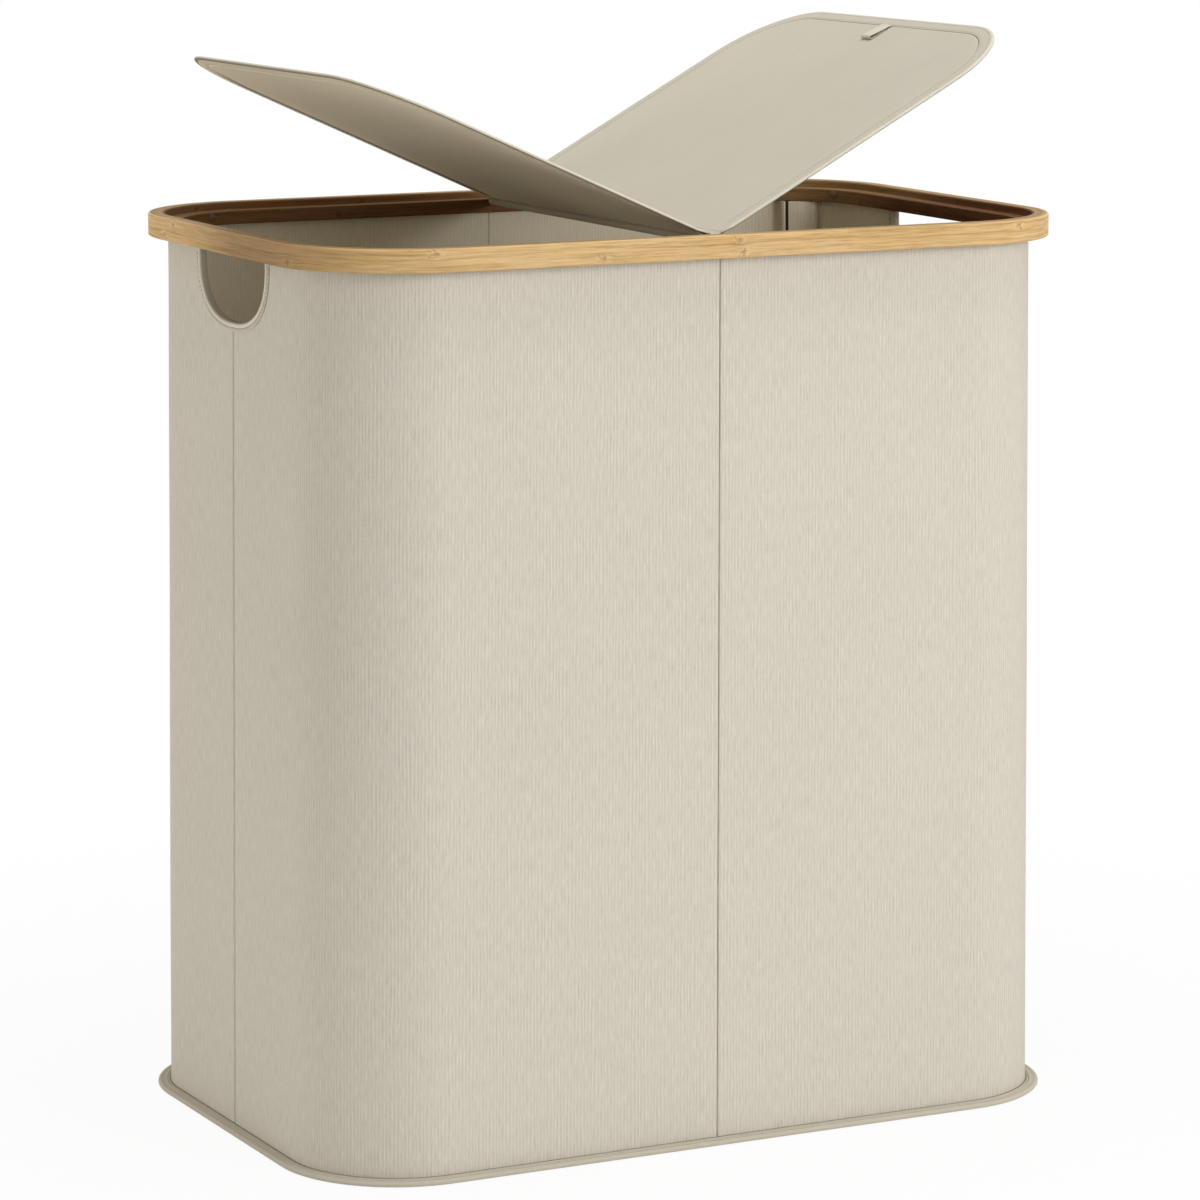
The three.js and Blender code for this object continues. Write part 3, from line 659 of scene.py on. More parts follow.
def rim_outer():
    r = RIM_EDGE_RADIUS
    section = [
        *arc(r, RIM_BOTTOM + r, r, 270, 180, 6),
        (0, 639.5),
        (0, 645.5),
        *arc(r, RIM_TOP - r, r, 180, 90, 6),
        *arc(LIP_WIDTH - r, RIM_TOP - r, r, 90, 0, 6),
        *arc(LIP_WIDTH + 0.35, LEDGE_Z + 0.35, 0.35, 180, 270, 2),
        (LINING_FACE, LEDGE_Z),
        (LINING_FACE, SHELF_UNDERSIDE),
        (BODY_INSET - GAP, SHELF_UNDERSIDE),
        (BODY_INSET - GAP, RIM_BOTTOM + 0.4),
        (BODY_INSET - GAP - 0.4, RIM_BOTTOM),
    ]
    return swept("rim_outer", whole_outline(), section, wall_point, True, outer_bamboo, "hamper")


def rim_inner():
    r = 0.8
    inner = INNER_RING_INSET + INNER_RING_WIDTH
    section = [
        (INNER_RING_INSET, INNER_RING_BOTTOM),
        (INNER_RING_INSET, LEDGE_Z),
        *arc(inner - r, LEDGE_Z - r, r, 90, 0, 4),
        *arc(inner - r, INNER_RING_BOTTOM + r, r, 0, -90, 4),
    ]
    ring = swept("rim_inner", whole_outline(), section, wall_point, True, inner_bamboo, "hamper")
    slot_size = (2 * (HINGE_ROD_RADIUS + GAP), 6.3, 10)
    slot_y = HALF_DEPTH - inner + 1.15
    for side in (-1, 1):
        slot = bmesh.new()
        bmesh.ops.create_cube(slot, size=MM)
        bmesh.ops.scale(slot, vec=slot_size, verts=slot.verts)
        bmesh.ops.translate(slot, vec=(0, side * slot_y * MM, SLOT_Z * MM), verts=slot.verts)
        cut_away(ring, slot)
    return ring


def cut_away(obj, shape):
    """Takes a shape out of an object."""
    mesh = bpy.data.meshes.new("cutter")
    shape.to_mesh(mesh)
    shape.free()
    cutter = placed("cutter", mesh)
    cut = obj.modifiers.new("cut", "BOOLEAN")
    cut.operation = "DIFFERENCE"
    cut.solver = "EXACT"
    cut.object = cutter
    bpy.context.view_layer.update()
    graph = bpy.context.evaluated_depsgraph_get()
    made = bpy.data.meshes.new_from_object(obj.evaluated_get(graph), depsgraph=graph)
    obj.modifiers.clear()
    obj.data = made
    bpy.data.objects.remove(cutter)


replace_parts(rim_outer(), "rim_outer_ring")
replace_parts(rim_inner(), "rim_inner_ring")


# Wall layers

def opening_height(y):
    """The height of the handle opening's edge at a distance from its middle."""
    share = min(1.0, abs(y) / HANDLE_HALF_WIDTH)
    return HANDLE_START - HANDLE_DROP * (1 - share ** HANDLE_EXPONENT) ** (1 / HANDLE_EXPONENT)


def end_wall_columns():
    """Distances from the end wall's middle, closer where the opening's edge is steep."""
    upper = [CORNER_Y - 9.1 * i for i in range(5)]
    edge = [60, 59.93, 59.7, 59.2, 58.3, 57, 55, 52.4, 49, 45, 40, 34.5, 28.5, 22.5, 16.5, 11.5]
    fine = [GAP / 2 + s for s in FINE_STEPS[::-1] if s < 8]
    return upper + edge + fine


def row_shares():
    """Rows of the wall as shares of its height, closer at its foot and at its top."""
    return [0, 0.0015, 0.004, 0.008, 0.014, *spread(0.023, 0.985, 44), 0.993, 1.0]


def waviness(u, z, seed):
    """Soft unevenness of the stiffened wall, in millimetres, that fades at its edges."""
    fade = smooth_step((z - 6) / 50) * smooth_step((632 - z) / 30)
    a = math.sin(u / 61 + 1.3 + seed) * math.sin(z / 118 + 0.4 + 2 * seed)
    b = 0.6 * math.sin(u / 27 + z / 203 + 2.1 * seed) * math.sin(z / 71 + 1.1)
    c = 0.35 * math.sin(u / 14.5 - z / 90 + 0.7 * seed) * math.sin(z / 46 + seed)
    return 0.19 * fade * (a + b + c)


def seam_form(distance, depth, raised):
    """How far a sewn edge turns in at a distance from it, with a raised fold on one side."""
    return depth * bump(distance, 0, 0.5, 1.8) - raised * bump(distance, 1.0, 0.5)


def painted_seam_tone(distance, raised):
    """Painted tone along a sewn edge: a painted highlight on the raised fold, and painted shade on the side
    that turns in under it.
    """
    return 0.3 * bump(distance, 0.5, 0.45) if raised else -0.42 * bump(distance, 0, 0.5)


def wall_layer(name, side_x, side_y, front, back, material, seed=None, seam_depth=0.0):
    """One layer of a quarter of the wall, as a closed sheet between two insets."""
    inward = 1 if back > front else -1
    turn = side_x * side_y
    raised = SEAM_FOLD if turn > 0 else 0.0
    stations = quarter(end_columns=end_wall_columns())
    flat = mirrored(stations, side_x, side_y)
    lengths = lengths_along([wall_point(s, (front, MEASURED_AT))[:2] for s in stations])
    columns, points, uvs, seams = [], [], [], []
    for inset in (front, back):
        for (_, y, _, ny, _, _), station, length in zip(stations, flat, lengths):
            is_end = ny == 0.0 and y < HANDLE_HALF_WIDTH
            top = opening_height(y) if is_end else HANDLE_START
            heights = [WALL_FOOT + (top - WALL_FOOT) * share for share in row_shares()]
            if not is_end:
                heights += [HANDLE_START + 3, RIM_BOTTOM, WALL_TOP]
            from_seam = min(length, lengths[-1] - length)
            width = 2.0 if length > lengths[-1] / 2 else 1.0
            turned = seam_form(from_seam / width, seam_depth, raised) if seam_depth else 0.0
            # Painted shade and painted highlight along the seam
            tone = painted_seam_tone(from_seam / width, raised) if seam_depth else 0.0
            columns.append(range(len(points), len(points) + len(heights)))
            for z in heights:
                wave = 0.0 if seed is None else waviness(length * turn, z, seed)
                push = turned - wave * smooth_step(from_seam / 12) if inset == front else 0.0
                points.append(wall_point(station, (inset + inward * push, z)))
                uvs.append((length * turn, z))
                seams.append(tone)
    faces = []
    for near, far in zip(columns[:len(flat)], columns[1:len(flat)]):
        faces += [(near[j], far[j], far[j + 1], near[j + 1]) for j in range(min(len(near), len(far)) - 1)]
    faces = closed_sheet(faces, len(points) // 2)
    return build(name, points, faces, uvs, material, "hamper", 50, seams)


QUARTERS = [(f"{face}_{end}", side_x, side_y)
            for end, side_x in (("left", -1), ("right", 1))
            for face, side_y in (("front", -1), ("back", 1))]

for index, (place_name, side_x, side_y) in enumerate(QUARTERS):
    cover = wall_layer(f"outer_cloth_{place_name}", side_x, side_y, BODY_INSET, COVER_BACK,
                       cover_cloth, seed=1.7 * index, seam_depth=0.85)
    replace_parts(cover, f"cover_{place_name}")
    stiffener = wall_layer(f"stiff_felt_{place_name}", side_x, side_y, FELT_INSET, FELT_BACK,
                           felt_cloth)
    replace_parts(stiffener, f"interlining_{place_name}")
    lining = wall_layer(f"inner_cloth_{place_name}", side_x, side_y, LINING_FACE, LINING_INSET,
                        lining_cloth, seed=0.9 + index, seam_depth=0.5)
    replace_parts(lining, f"lining_{place_name}")


# Bound edges of the handle openings

def opening_outline():
    """The opening's edge from the rim down and round to the rim again, with its outward normals."""
    half = [(HANDLE_HALF_WIDTH, RIM_BOTTOM - GAP)]
    power = 2 / HANDLE_EXPONENT
    for angle in spread(0, math.pi / 2, HANDLE_STEPS):
        y = HANDLE_HALF_WIDTH * max(0.0, math.cos(angle)) ** power
        half.append((y, HANDLE_START - HANDLE_DROP * math.sin(angle) ** power))
    points = half + [(-y, z) for y, z in reversed(half[:-1])]
    line = np.array(points)
    return [(*point, *normal) for point, normal in zip(line, unit_normals(line))]


def handle_edge(side, end_name):
    middle = (BODY_INSET + LINING_FACE) / 2
    half_wall = (LINING_FACE - BODY_INSET) / 2 + GAP
    outside = half_wall + BINDING_THICKNESS
    lip = BINDING_THICKNESS + GAP
    tail = half_wall + 0.45
    half_section = [
        (-GAP, half_wall),
        (BINDING_WIDTH, half_wall),
        (BINDING_WIDTH, tail - 0.2),
        (BINDING_WIDTH - 0.3, tail),
        (2.9, tail),
        (2.55, tail - 0.25),
        (2.2, tail),
        (1.8, outside + 0.05),
        (1.0, outside + 0.3),
        (0.1, outside + 0.2),
        (-0.6, outside - 0.2),
        (-lip + 0.12, outside - 0.75),
        (-lip, outside - 1.4),
    ]
    section = [(a, -b) for a, b in half_section] + half_section[::-1]
    stations = opening_outline()

    def tone(_, corner):
        """Painted highlight on the bead, painted shade in the seam beside it, and painted shade on the edge
        where the layers are bound together.
        """
        away, across = corner
        if away < -0.7:
            return -0.2 if across < 1 - outside else -0.46 - 0.1 * across / outside
        if abs(away - 2.55) < 0.1:
            return -0.6
        return 0.16 if 0 < away < 2 and across < 0 else 0.0

    def place(station, corner):
        y, z, away_y, away_z = station
        away, across = corner
        height = z + away_z * away
        return (side * (HALF_LENGTH - middle + FLARE_X * drop(z) - across), y + away_y * away, height)

    edge = swept(f"handle_edge_{end_name}", stations, section, place, False, tape_cloth, "hamper",
                 60, tone)
    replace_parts(edge, f"handle_binding_{end_name}")
    for face_name, across, facing in (("outer", -tail, 1), ("inner", tail, -1)):
        line = [place(station, (BINDING_WIDTH - 1.2, across)) for station in stations[1:-1]]
        stitches(f"handle_stitches_{end_name}_{face_name}", line, (side * facing, 0, 0), "hamper")


for side, end_name in ((-1, "left"), (1, "right")):
    handle_edge(side, end_name)


# Base

def floor_point(station, corner):
    """A corner of a section whose inset is taken at floor level."""
    x, y, _ = wall_point(station, (corner[0], 0))
    return (x, y, corner[1])


def base_hem():
    """Hem that folds over the base's edge, with a piped ridge at the foot of the wall."""
    edge = 1.85
    sewn = (FLANGE_INSET + 3.2, FLANGE_HEIGHT - 0.35)
    section = [
        (FLANGE_INSET + 2.4, GAP),
        *arc(FLANGE_INSET + edge, GAP + edge, edge, 270, 90, 8),
        sewn,
        (FLANGE_INSET + 4.2, FLANGE_HEIGHT - 0.1),
        (FLANGE_INSET + 6.0, FLANGE_HEIGHT - 0.15),
        *arc(BODY_INSET - 3.3, FLANGE_HEIGHT - 0.1, 0.5, 170, 10, 5),
        (BODY_INSET - 2.5, FLANGE_HEIGHT - 0.35),
        *arc(BODY_INSET - 1.7, FLANGE_HEIGHT - 0.1, 0.6, 170, 10, 5),
        (BODY_INSET - 0.7, FLANGE_HEIGHT - 0.3),
        (BODY_INSET - 0.4, FLANGE_HEIGHT),
        (BODY_INSET + 1.6, FLANGE_HEIGHT),
        (BODY_INSET + 1.6, BASE_TOP),
        (FLANGE_INSET + 2.4, BASE_TOP),
    ]
    # Painted shade in the hem's grooves and along its sewn line
    painted_groove_shade = {sewn[0]: -0.12, BODY_INSET - 2.5: -0.32, BODY_INSET - 0.7: -0.4, BODY_INSET - 0.4: -0.3}
    outline = whole_outline()
    hem = swept("base_hem", outline, section, floor_point, True, flange_cloth, "hamper",
                tone=lambda _, corner: painted_groove_shade.get(corner[0], 0.0))
    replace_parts(hem, "base_flange")
    line = [floor_point(station, sewn) for station in outline]
    stitches("base_hem_stitches", line, (0, 0, 1), "hamper", closed=True)


base_hem()


def flat_piece(name, inset, bottom, top, material, replaced, edge=0.3):
    """A sheet of the wall's outline at floor level, with softened edges."""
    section = [(inset + edge, bottom), (inset, bottom + edge), (inset, top - edge), (inset + edge, top)]
    outline = whole_outline()
    rings = [[floor_point(station, corner) for station in outline] for corner in section]
    points = flattened(rings)
    uvs = [(x, y) for x, y, _ in points]
    piece = build(name, points, loft(rings, False), uvs, material, "hamper")
    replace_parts(piece, replaced)
    return piece


flat_piece("underside_cloth", 7.5, 0, 2.4, cover_cloth, "bottom_cover", 0.6)
floor_cloth = flat_piece("floor_cloth", INNER_RING_INSET, FLOOR_BOTTOM, FLOOR_TOP, lining_cloth,
                         "bottom_lining")


# Rod sleeves in the corners

def sleeve_profile():
    """Section of the sleeve round its corner's centre: the panel, the slit over the rod, the ramp."""
    sewn = SLEEVE_BACK - SLEEVE_EDGE
    bore = ROD_RADIUS + GAP
    rod_ring = sewn - GAP - ROD_RADIUS
    front = rod_ring - bore - SLEEVE_EDGE
    cosine, sine = math.cos(math.radians(ROD_ANGLE)), math.sin(math.radians(ROD_ANGLE))

    def polar(radius, degrees):
        angle = math.radians(degrees)
        return np.array([radius * math.cos(angle), radius * math.sin(angle)])

    def from_rod(inward, across):
        middle = rod_ring - inward
        return np.array([middle * cosine - across * sine, middle * sine + across * cosine])

    points = [polar(SLEEVE_BACK, degrees) for degrees in spread(SLEEVE_START, SLEEVE_END, SLEEVE_PANEL_STEPS)]
    lip = ROD_ANGLE + SLEEVE_LIP_DEGREES
    start = SLEEVE_BACK - 0.15
    for share in spread(0, 1, SLEEVE_RAMP_STEPS):
        radius = start + (front - start) * smooth_step(share)
        points.append(polar(radius, SLEEVE_END + (lip - SLEEVE_END) * share))
    half = SLEEVE_SLIT / 2
    brim = bore + SLEEVE_EDGE
    corners = [(brim, half + 0.35), (brim - 0.1, half + 0.1), (brim - 0.35, half)]
    mouth = math.degrees(math.asin(half / bore))
    slit = [*corners, *arc(0, 0, bore, mouth, 360 - mouth, 20), *((a, -b) for a, b in corners[:0:-1])]
    points += [from_rod(inward, across) for inward, across in slit]
    near = from_rod(brim, -half - 0.35)
    far = polar(sewn, SLEEVE_START + 1.3)
    length = np.linalg.norm(far - near)
    across = (far - near) / length
    out = np.array([across[1], -across[0]])
    for at in spread(0, length, 16):
        fold = 0.22 * bump(at, 0.9, 0.6) - 0.3 * bump(at, length - 1.8, 0.5)
        belly = 0.25 * math.sin(math.pi * at / length)
        points.append(near + across * at - out * (fold - belly))
    tuck = ((0.75, 0.9), (0.55, 0.2), (0, 0))
    return points + [polar(sewn - dip, SLEEVE_START + turn) for dip, turn in tuck]


def rod_sleeve(place_name, side_x, side_y):
    profile = sleeve_profile()
    heights = spread(FLOOR_TOP + GAP, SLEEVE_TOP, 40)

    def place(z, corner):
        on_wall = np.linalg.norm(corner) >= SLEEVE_BACK - 0.1
        ripple = 0.0 if on_wall else 0.12 * math.sin(z / 37 + corner[0] / 3)
        shrink = 1 - ripple / SLEEVE_BACK
        x = CORNER_X + corner[0] * shrink + FLARE_X * drop(z)
        y = CORNER_Y + corner[1] * shrink + FLARE_Y * drop(z)
        return (side_x * x, side_y * y, z)

    rings = [[place(z, corner) for corner in profile] for z in heights]
    around = lengths_along(profile)
    uvs = [(a, z) for z in heights for a in around]
    # Painted shade on the ramp and on the tuck at the sewn edge, and a painted highlight along the stitched
    # line
    tones = [0.0] * len(profile)
    for i in range(SLEEVE_RAMP_STEPS + 1):
        tones[SLEEVE_PANEL_STEPS + 1 + i] = -0.14 * math.sin(math.pi * i / (SLEEVE_RAMP_STEPS + 1))
    tones[-3:] = (-0.4, -0.4, -0.3)
    tones[SLEEVE_SEWN_CORNER] = 0.12
    sleeve = build(f"corner_sleeve_{place_name}", flattened(rings), loft(rings, False), uvs, lining_cloth,
                   "hamper", 40, tones * len(heights))
    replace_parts(sleeve, f"rod_sleeve_{place_name}")
    corner = profile[SLEEVE_SEWN_CORNER]
    line = [place(z, corner) for z in heights[1:-1]]
    up = (-side_x * corner[0], -side_y * corner[1], 0)
    stitches(f"corner_stitches_{place_name}", line, up, "hamper", pitch=4.2, length=3.1)


for place_name, side_x, side_y in QUARTERS:
    rod_sleeve(place_name, side_x, side_y)


# Divider

def cross_section(y, corner):
    """A corner of a section that runs straight from the front to the back."""
    return (corner[0], y, corner[1])


def divider_half(z):
    return HALF_DEPTH - LINING_FACE - GAP + FLARE_Y * drop(z)


def divider_panel():
    """A quilted fabric panel: soft on both faces, thin at its side seams."""
    foot = FLOOR_TOP + GAP
    rows = spread(foot, DIVIDER_TOP, 36)
    columns = spread(-1, 1, 30)
    points, uvs = [], []
    for face in (-1, 1):
        for z in rows:
            for share in columns:
                edge = min(1 - abs(share), (z - foot) / DIVIDER_SPAN, (DIVIDER_TOP - z) / DIVIDER_SPAN)
                body = 0.55 + 0.45 * smooth_step(edge / 0.09)
                sway = 0.25 * math.sin(share * 5 + z / 95) * smooth_step(edge / 0.2)
                points.append((face * DIVIDER_HALF * body * 0.84 + sway, share * divider_half(z), z))
                uvs.append((share * divider_half(z), z))
    count = len(columns)
    faces = []
    for j in range(len(rows) - 1):
        for a in range(j * count, (j + 1) * count - 1):
            faces.append((a, a + 1, a + count + 1, a + count))
    faces = closed_sheet(faces, len(rows) * count)
    panel = build("divider_panel", points, faces, uvs, lining_cloth, "hamper", 60)
    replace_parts(panel, "divider")


def divider_tape():
    inner = DIVIDER_HALF + GAP
    outer = inner + BINDING_THICKNESS
    foot = DIVIDER_TOP - DIVIDER_TAPE
    section = [
        (-outer + 0.2, foot),
        (-inner, foot),
        (-inner, DIVIDER_TOP + GAP),
        (inner, DIVIDER_TOP + GAP),
        (inner, foot),
        (outer - 0.2, foot),
        (outer, foot + 0.3),
        *arc(0, DIVIDER_TOP + GAP, outer, 0, 180, 12),
        (-outer, foot + 0.3),
    ]
    half = divider_half(DIVIDER_TOP)
    stations = spread(-half, half, 24)
    tape = swept("divider_tape", stations, section, cross_section, False, tape_cloth, "hamper")
    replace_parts(tape, "divider_binding")
    for k, side in enumerate((-1, 1)):
        line = [(side * outer, y, foot + 2.2) for y in stations]
        stitches(f"divider_stitches_{k}", line, (side, 0, 0), "hamper")


divider_panel()
divider_tape()


# Fold between the lids

def fold_loop():
    """Loop of cloth round the fold's rod, drawn in to a neck that carries both lids."""
    bore = (HINGE_ROD_RADIUS + GAP) * MM
    neck = 0.5
    top = HINGE_Z - 0.55
    neck_foot = HINGE_ROD_Z + HINGE_SLEEVE_RADIUS + 0.5
    turned = math.degrees(math.asin(neck / HINGE_SLEEVE_RADIUS))
    section = [
        (neck, top - 0.1),
        (0, top),
        (-neck, top - 0.1),
        (-neck * 1.1, neck_foot),
        *arc(0, HINGE_ROD_Z, HINGE_SLEEVE_RADIUS, 90 + turned, 450 - turned, 24),
        (neck * 1.1, neck_foot),
    ]
    stations = spread(GAP - HINGE_REACH, HINGE_REACH - GAP, 40)
    # Painted shade on the loop below its top
    loop = swept("fold_loop", stations, section, cross_section, False, under_cloth, "hamper",
                 tone=lambda _, corner: -0.3 if corner[1] < top - 0.2 else 0.0)
    rod = bmesh.new()
    bmesh.ops.create_cone(rod, cap_ends=True, segments=24, radius1=bore, radius2=bore, depth=0.4)
    bmesh.ops.rotate(rod, cent=(0, 0, 0), matrix=Matrix.Rotation(math.pi / 2, 3, "X"), verts=rod.verts)
    bmesh.ops.translate(rod, vec=(0, 0, HINGE_ROD_Z * MM), verts=rod.verts)
    cut_away(loop, rod)
    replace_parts(loop, "hinge_sleeve")


fold_loop()


# Lids: drawn closed along +X from the fold, then turned to rest

def lid_place(side_name):
    """A function that carries a point of the closed lid to where the lid rests."""
    angle = math.radians(LID_ANGLES[side_name])
    cosine, sine = math.cos(angle), math.sin(angle)
    side = 1 if side_name == "right" else -1

    def place(x, y, z):
        return (side * (HINGE_OFFSET + x * cosine - z * sine), side * y, HINGE_Z + x * sine + z * cosine)

    return place


def lid_line(inset, start):
    """Points round the lid's three free edges at an inset, always the same number of them."""
    end = LID_LENGTH - inset
    half = LID_HALF_DEPTH - inset
    radius = LID_RADIUS - inset
    bottom = [(x, -half, 0.0, -1.0) for x in spread(start, end - radius, LID_STRAIGHT)[:-1]]
    for angle in spread(-math.pi / 2, 0, LID_ARC):
        nx, ny = math.cos(angle), math.sin(angle)
        bottom.append((end - radius + radius * nx, radius - half + radius * ny, nx, ny))
    side = [(end, y, 1.0, 0.0) for y in spread(radius - half, half - radius, LID_END)[1:-1]]
    top = [(x, -y, nx, -ny) for x, y, nx, ny in reversed(bottom)]
    return bottom + side + top


LID_INSETS = (2.9, 3.3, 4.2, 5.6, 7.4, 8.4, 9.4, 10.2, 10.7, 11.0, 11.25, 11.6, 11.95, 12.2, 12.6, 13.4,
              15, 18, 21, 23, 25, 28, 31)


def lid_skin(name, side_name, start, height, tone, facing, material):
    """The lid's top or bottom cloth. height of (inset, x, y) gives its outer surface, and tone of (inset, x,
    y) the painted shade on it.
    """
    place = lid_place(side_name)
    rings = [lid_line(inset, start) for inset in LID_INSETS]
    edge = rings[-1]
    last = LID_STRAIGHT + LID_ARC
    points, uvs, seams = [], [], []

    def layer(offset):
        """Adds the points of one layer of the cloth, and gives the faces between them."""

        def add(inset, x, y):
            points.append(place(x, y, height(inset, x, y) + offset))
            uvs.append((y, x))
            seams.append(tone(inset, x, y))
            return len(points) - 1

        rows = [[add(inset, x, y) for x, y, _, _ in ring] for ring, inset in zip(rings, LID_INSETS)]
        inner = rows[-1]
        grid = []
        for column, (x, low, _, _) in enumerate(edge[:last]):
            line = [inner[column]]
            for y in spread(low, -low, LID_END)[1:-1]:
                reach = LID_INSETS[-1] + min(y - low, -low - y, edge[last][0] - x)
                line.append(add(reach, x, y))
            grid.append([*line, inner[-1 - column]])
        grid.append(inner[last:last + LID_END + 1])
        faces = []
        for near, far in zip(rows, rows[1:]):
            faces += zip(near, near[1:], far[1:], far)
        for left, right in zip(grid, grid[1:]):
            faces += zip(left, right, right[1:], left[1:])
        return faces

    faces = layer(0.0)
    half = len(points)
    layer(-facing * LID_SKIN)
    faces = closed_sheet(faces, half)
    return build(name, points, faces, uvs, material, f"{side_name}_lid", 60, seams)


def groove(inset):
    """1 in the groove along the lid's hem, and 0 beside it."""
    return bump(inset, LID_GROOVE, LID_GROOVE_WIDTH, 3)


def hem_thinning(inset):
    return LID_EDGE_THINNING * (1 - smooth_step((inset - LID_GROOVE) / 1.5))


def lid_wave(inset, height, x_turn, y_turn):
    return height * math.sin(x_turn) * math.sin(y_turn) * smooth_step((inset - 16) / 30)


def rest_of_rim(y):
    """0 along the lid's edge at -y, and 1 from there on round its tip and its other edge."""
    return smooth_step((LID_HALF_DEPTH + y - 14) / 30)


def lid_top_height(inset, x, y):
    """Top cloth: a thin sewn edge, a groove at its inner side, and the fuller panel inside."""
    wave = lid_wave(inset, 0.1, x / 38 + 0.6, y / 52 + 0.9)
    deep = 0.3 * groove(inset) * (0.15 + 0.85 * rest_of_rim(y))
    return LID_BASE + LID_THICKNESS + (wave - hem_thinning(inset) - deep) * smooth_step((x - FOLD_REACH) / 8)


# Painted shade in the groove along the top cloth's hem
def lid_top_tone(inset, x, y):
    return -0.8 * groove(inset) * (0.1 + 0.9 * rest_of_rim(y)) * smooth_step((x - FOLD_REACH) / 8)


def under_fade(x):
    """0 where the under cloth runs into the fold, and 1 on the rest of it."""
    return smooth_step((x - 6.0) / 8)


def lid_under_height(inset, x, y):
    """Under cloth, with the same thin edge and groove as the top."""
    wave = lid_wave(inset, 0.08, x / 47, y / 41 + 0.4)
    return LID_BASE + (0.3 * groove(inset) + hem_thinning(inset) + wave) * under_fade(x)


# Painted shade in the groove along the under cloth's hem
def lid_under_tone(inset, x, y):
    return -0.16 * groove(inset) * rest_of_rim(y) * under_fade(x)


def left_under_tone(inset, x, y):
    """Painted shade in a broad band along the left lid's back edge beside the panel, a painted highlight on
    the hem outside it, and a faint painted highlight on the panel beyond it.
    """
    # Painted shade and painted highlights along the back edge
    fold = -0.76 * bump(inset, 18.4, 6.2, 4) + 0.12 * bump(inset, 28, 3)
    fold += 0.14 * (1 - smooth_step((inset - 9.4) / 2))
    return lid_under_tone(inset, x, y) + fold * (1 - rest_of_rim(y)) * under_fade(x)


def lid_edge(side_name):
    """Rounded binding round the free edges, that thins out where the lid runs into the fold."""
    half = LID_THICKNESS / 2
    section = [(LID_BINDING, 0), *arc(half, half, half, 270, 90, 12), (LID_BINDING, LID_THICKNESS)]
    place = lid_place(side_name)
    outline = lid_line(0, FOLD_REACH + GAP)
    full = LID_THICKNESS - 2 * LID_EDGE_THINNING

    def edge_point(station, corner):
        x, y, nx, ny = station
        away = smooth_step((x - FOLD_REACH) / 9)
        top = LID_BASE + LID_THICKNESS - LID_EDGE_THINNING * away
        thickness = LID_FOLD_THICKNESS + (full - LID_FOLD_THICKNESS) * away
        inset, level = corner
        return place(x - nx * inset, y - ny * inset, top - (1 - level / LID_THICKNESS) * thickness)

    def tone(station, corner):
        """Painted shade near the fold, and below, where the binding turns under."""
        near_fold = 1 - smooth_step((station[0] - 5) / 7)
        below = 1 - smooth_step(corner[1] - 0.6)
        return -0.24 * near_fold - 0.55 * below

    return swept(f"{side_name}_lid_edge", outline, section, edge_point, False, tape_cloth,
                 f"{side_name}_lid", tone=tone)


def fold_strip(side_name):
    """Cloth from the middle of the fold out to one lid, curved to meet that lid where it rests."""
    place = lid_place(side_name)
    side = 1 if side_name == "right" else -1
    half = LID_HALF_DEPTH - 0.1
    start = (side * 0.15, HINGE_Z)
    x_end, _, z_end = place(FOLD_REACH, 0, 0)
    bend = (side * (HINGE_OFFSET + 0.2), HINGE_Z)
    line = np.array([[(1 - t) ** 2 * a + 2 * t * (1 - t) * b + t * t * c
                      for a, b, c in zip(start, bend, (x_end, z_end))] for t in spread(0, 1, 8)])
    rise = unit_normals(line) * side * LID_SKIN / 2
    section = [*(line + rise), *(line - rise)[::-1]]
    strip = swept(f"{side_name}_fold_strip", spread(-half, half, 60), section, cross_section,
                  False, lid_cloth, "")
    x_end * MM
    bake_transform(strip)


def pull_tab(side_name):
    """A doubled tape sewn down at its far end, with its open loop standing up."""
    base = LID_BASE + LID_THICKNESS + GAP
    upper_length = TAB_FAR - TAB_NEAR - 4
    line = [(TAB_FAR - 1 - upper_length * share, base + 0.75 + 1.9 * share ** 1.15)
            for share in spread(0, 1, 8)]
    x, z = line[-1]
    line += arc(x - 0.7, z - 1.1, 1.35, 75, 280, 8)[1:-1]
    x, z = line[-1]
    for share in spread(0, 1, 6)[1:]:
        line.append((x + (TAB_FAR - 7 - x) * share, z + (base + 0.28 - z) * share ** 0.8))
    half = TAB_WIDTH / 2
    widths = (-half, 0.5 - half, -half / 2, 0, half / 2, half - 0.5, half)
    section = [(w, 0.3 if abs(w) == half else 1) for w in widths]
    section += [(w, -t) for w, t in reversed(section)]
    place = lid_place(side_name)
    rings = [[place(x + nx * TAB_SKIN * t, w, z + nz * TAB_SKIN * t) for w, t in section]
             for (x, z), (nx, nz) in zip(line, unit_normals(np.array(line)))]
    uvs = [(w, r) for r in lengths_along(line) for w, _ in section]
    tab = build(f"{side_name}_lid_tab", flattened(rings), loft(rings, False), uvs, tape_cloth,
                f"{side_name}_lid", 50)
    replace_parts(tab, f"{side_name}_lid_pull_tab")


def lid_stitches(side_name, label, height, facing):
    place = lid_place(side_name)
    outline = lid_line(LID_STITCH_INSET, 16)
    line = [place(x, y, height(LID_STITCH_INSET, x, y)) for x, y, _, _ in outline]
    up = np.array(place(0, 0, facing)) - np.array(place(0, 0, 0))
    stitches(f"{side_name}_lid_stitches_{label}", line, up, f"{side_name}_lid",
             pitch=3.8, length=2.9, radius=0.2)


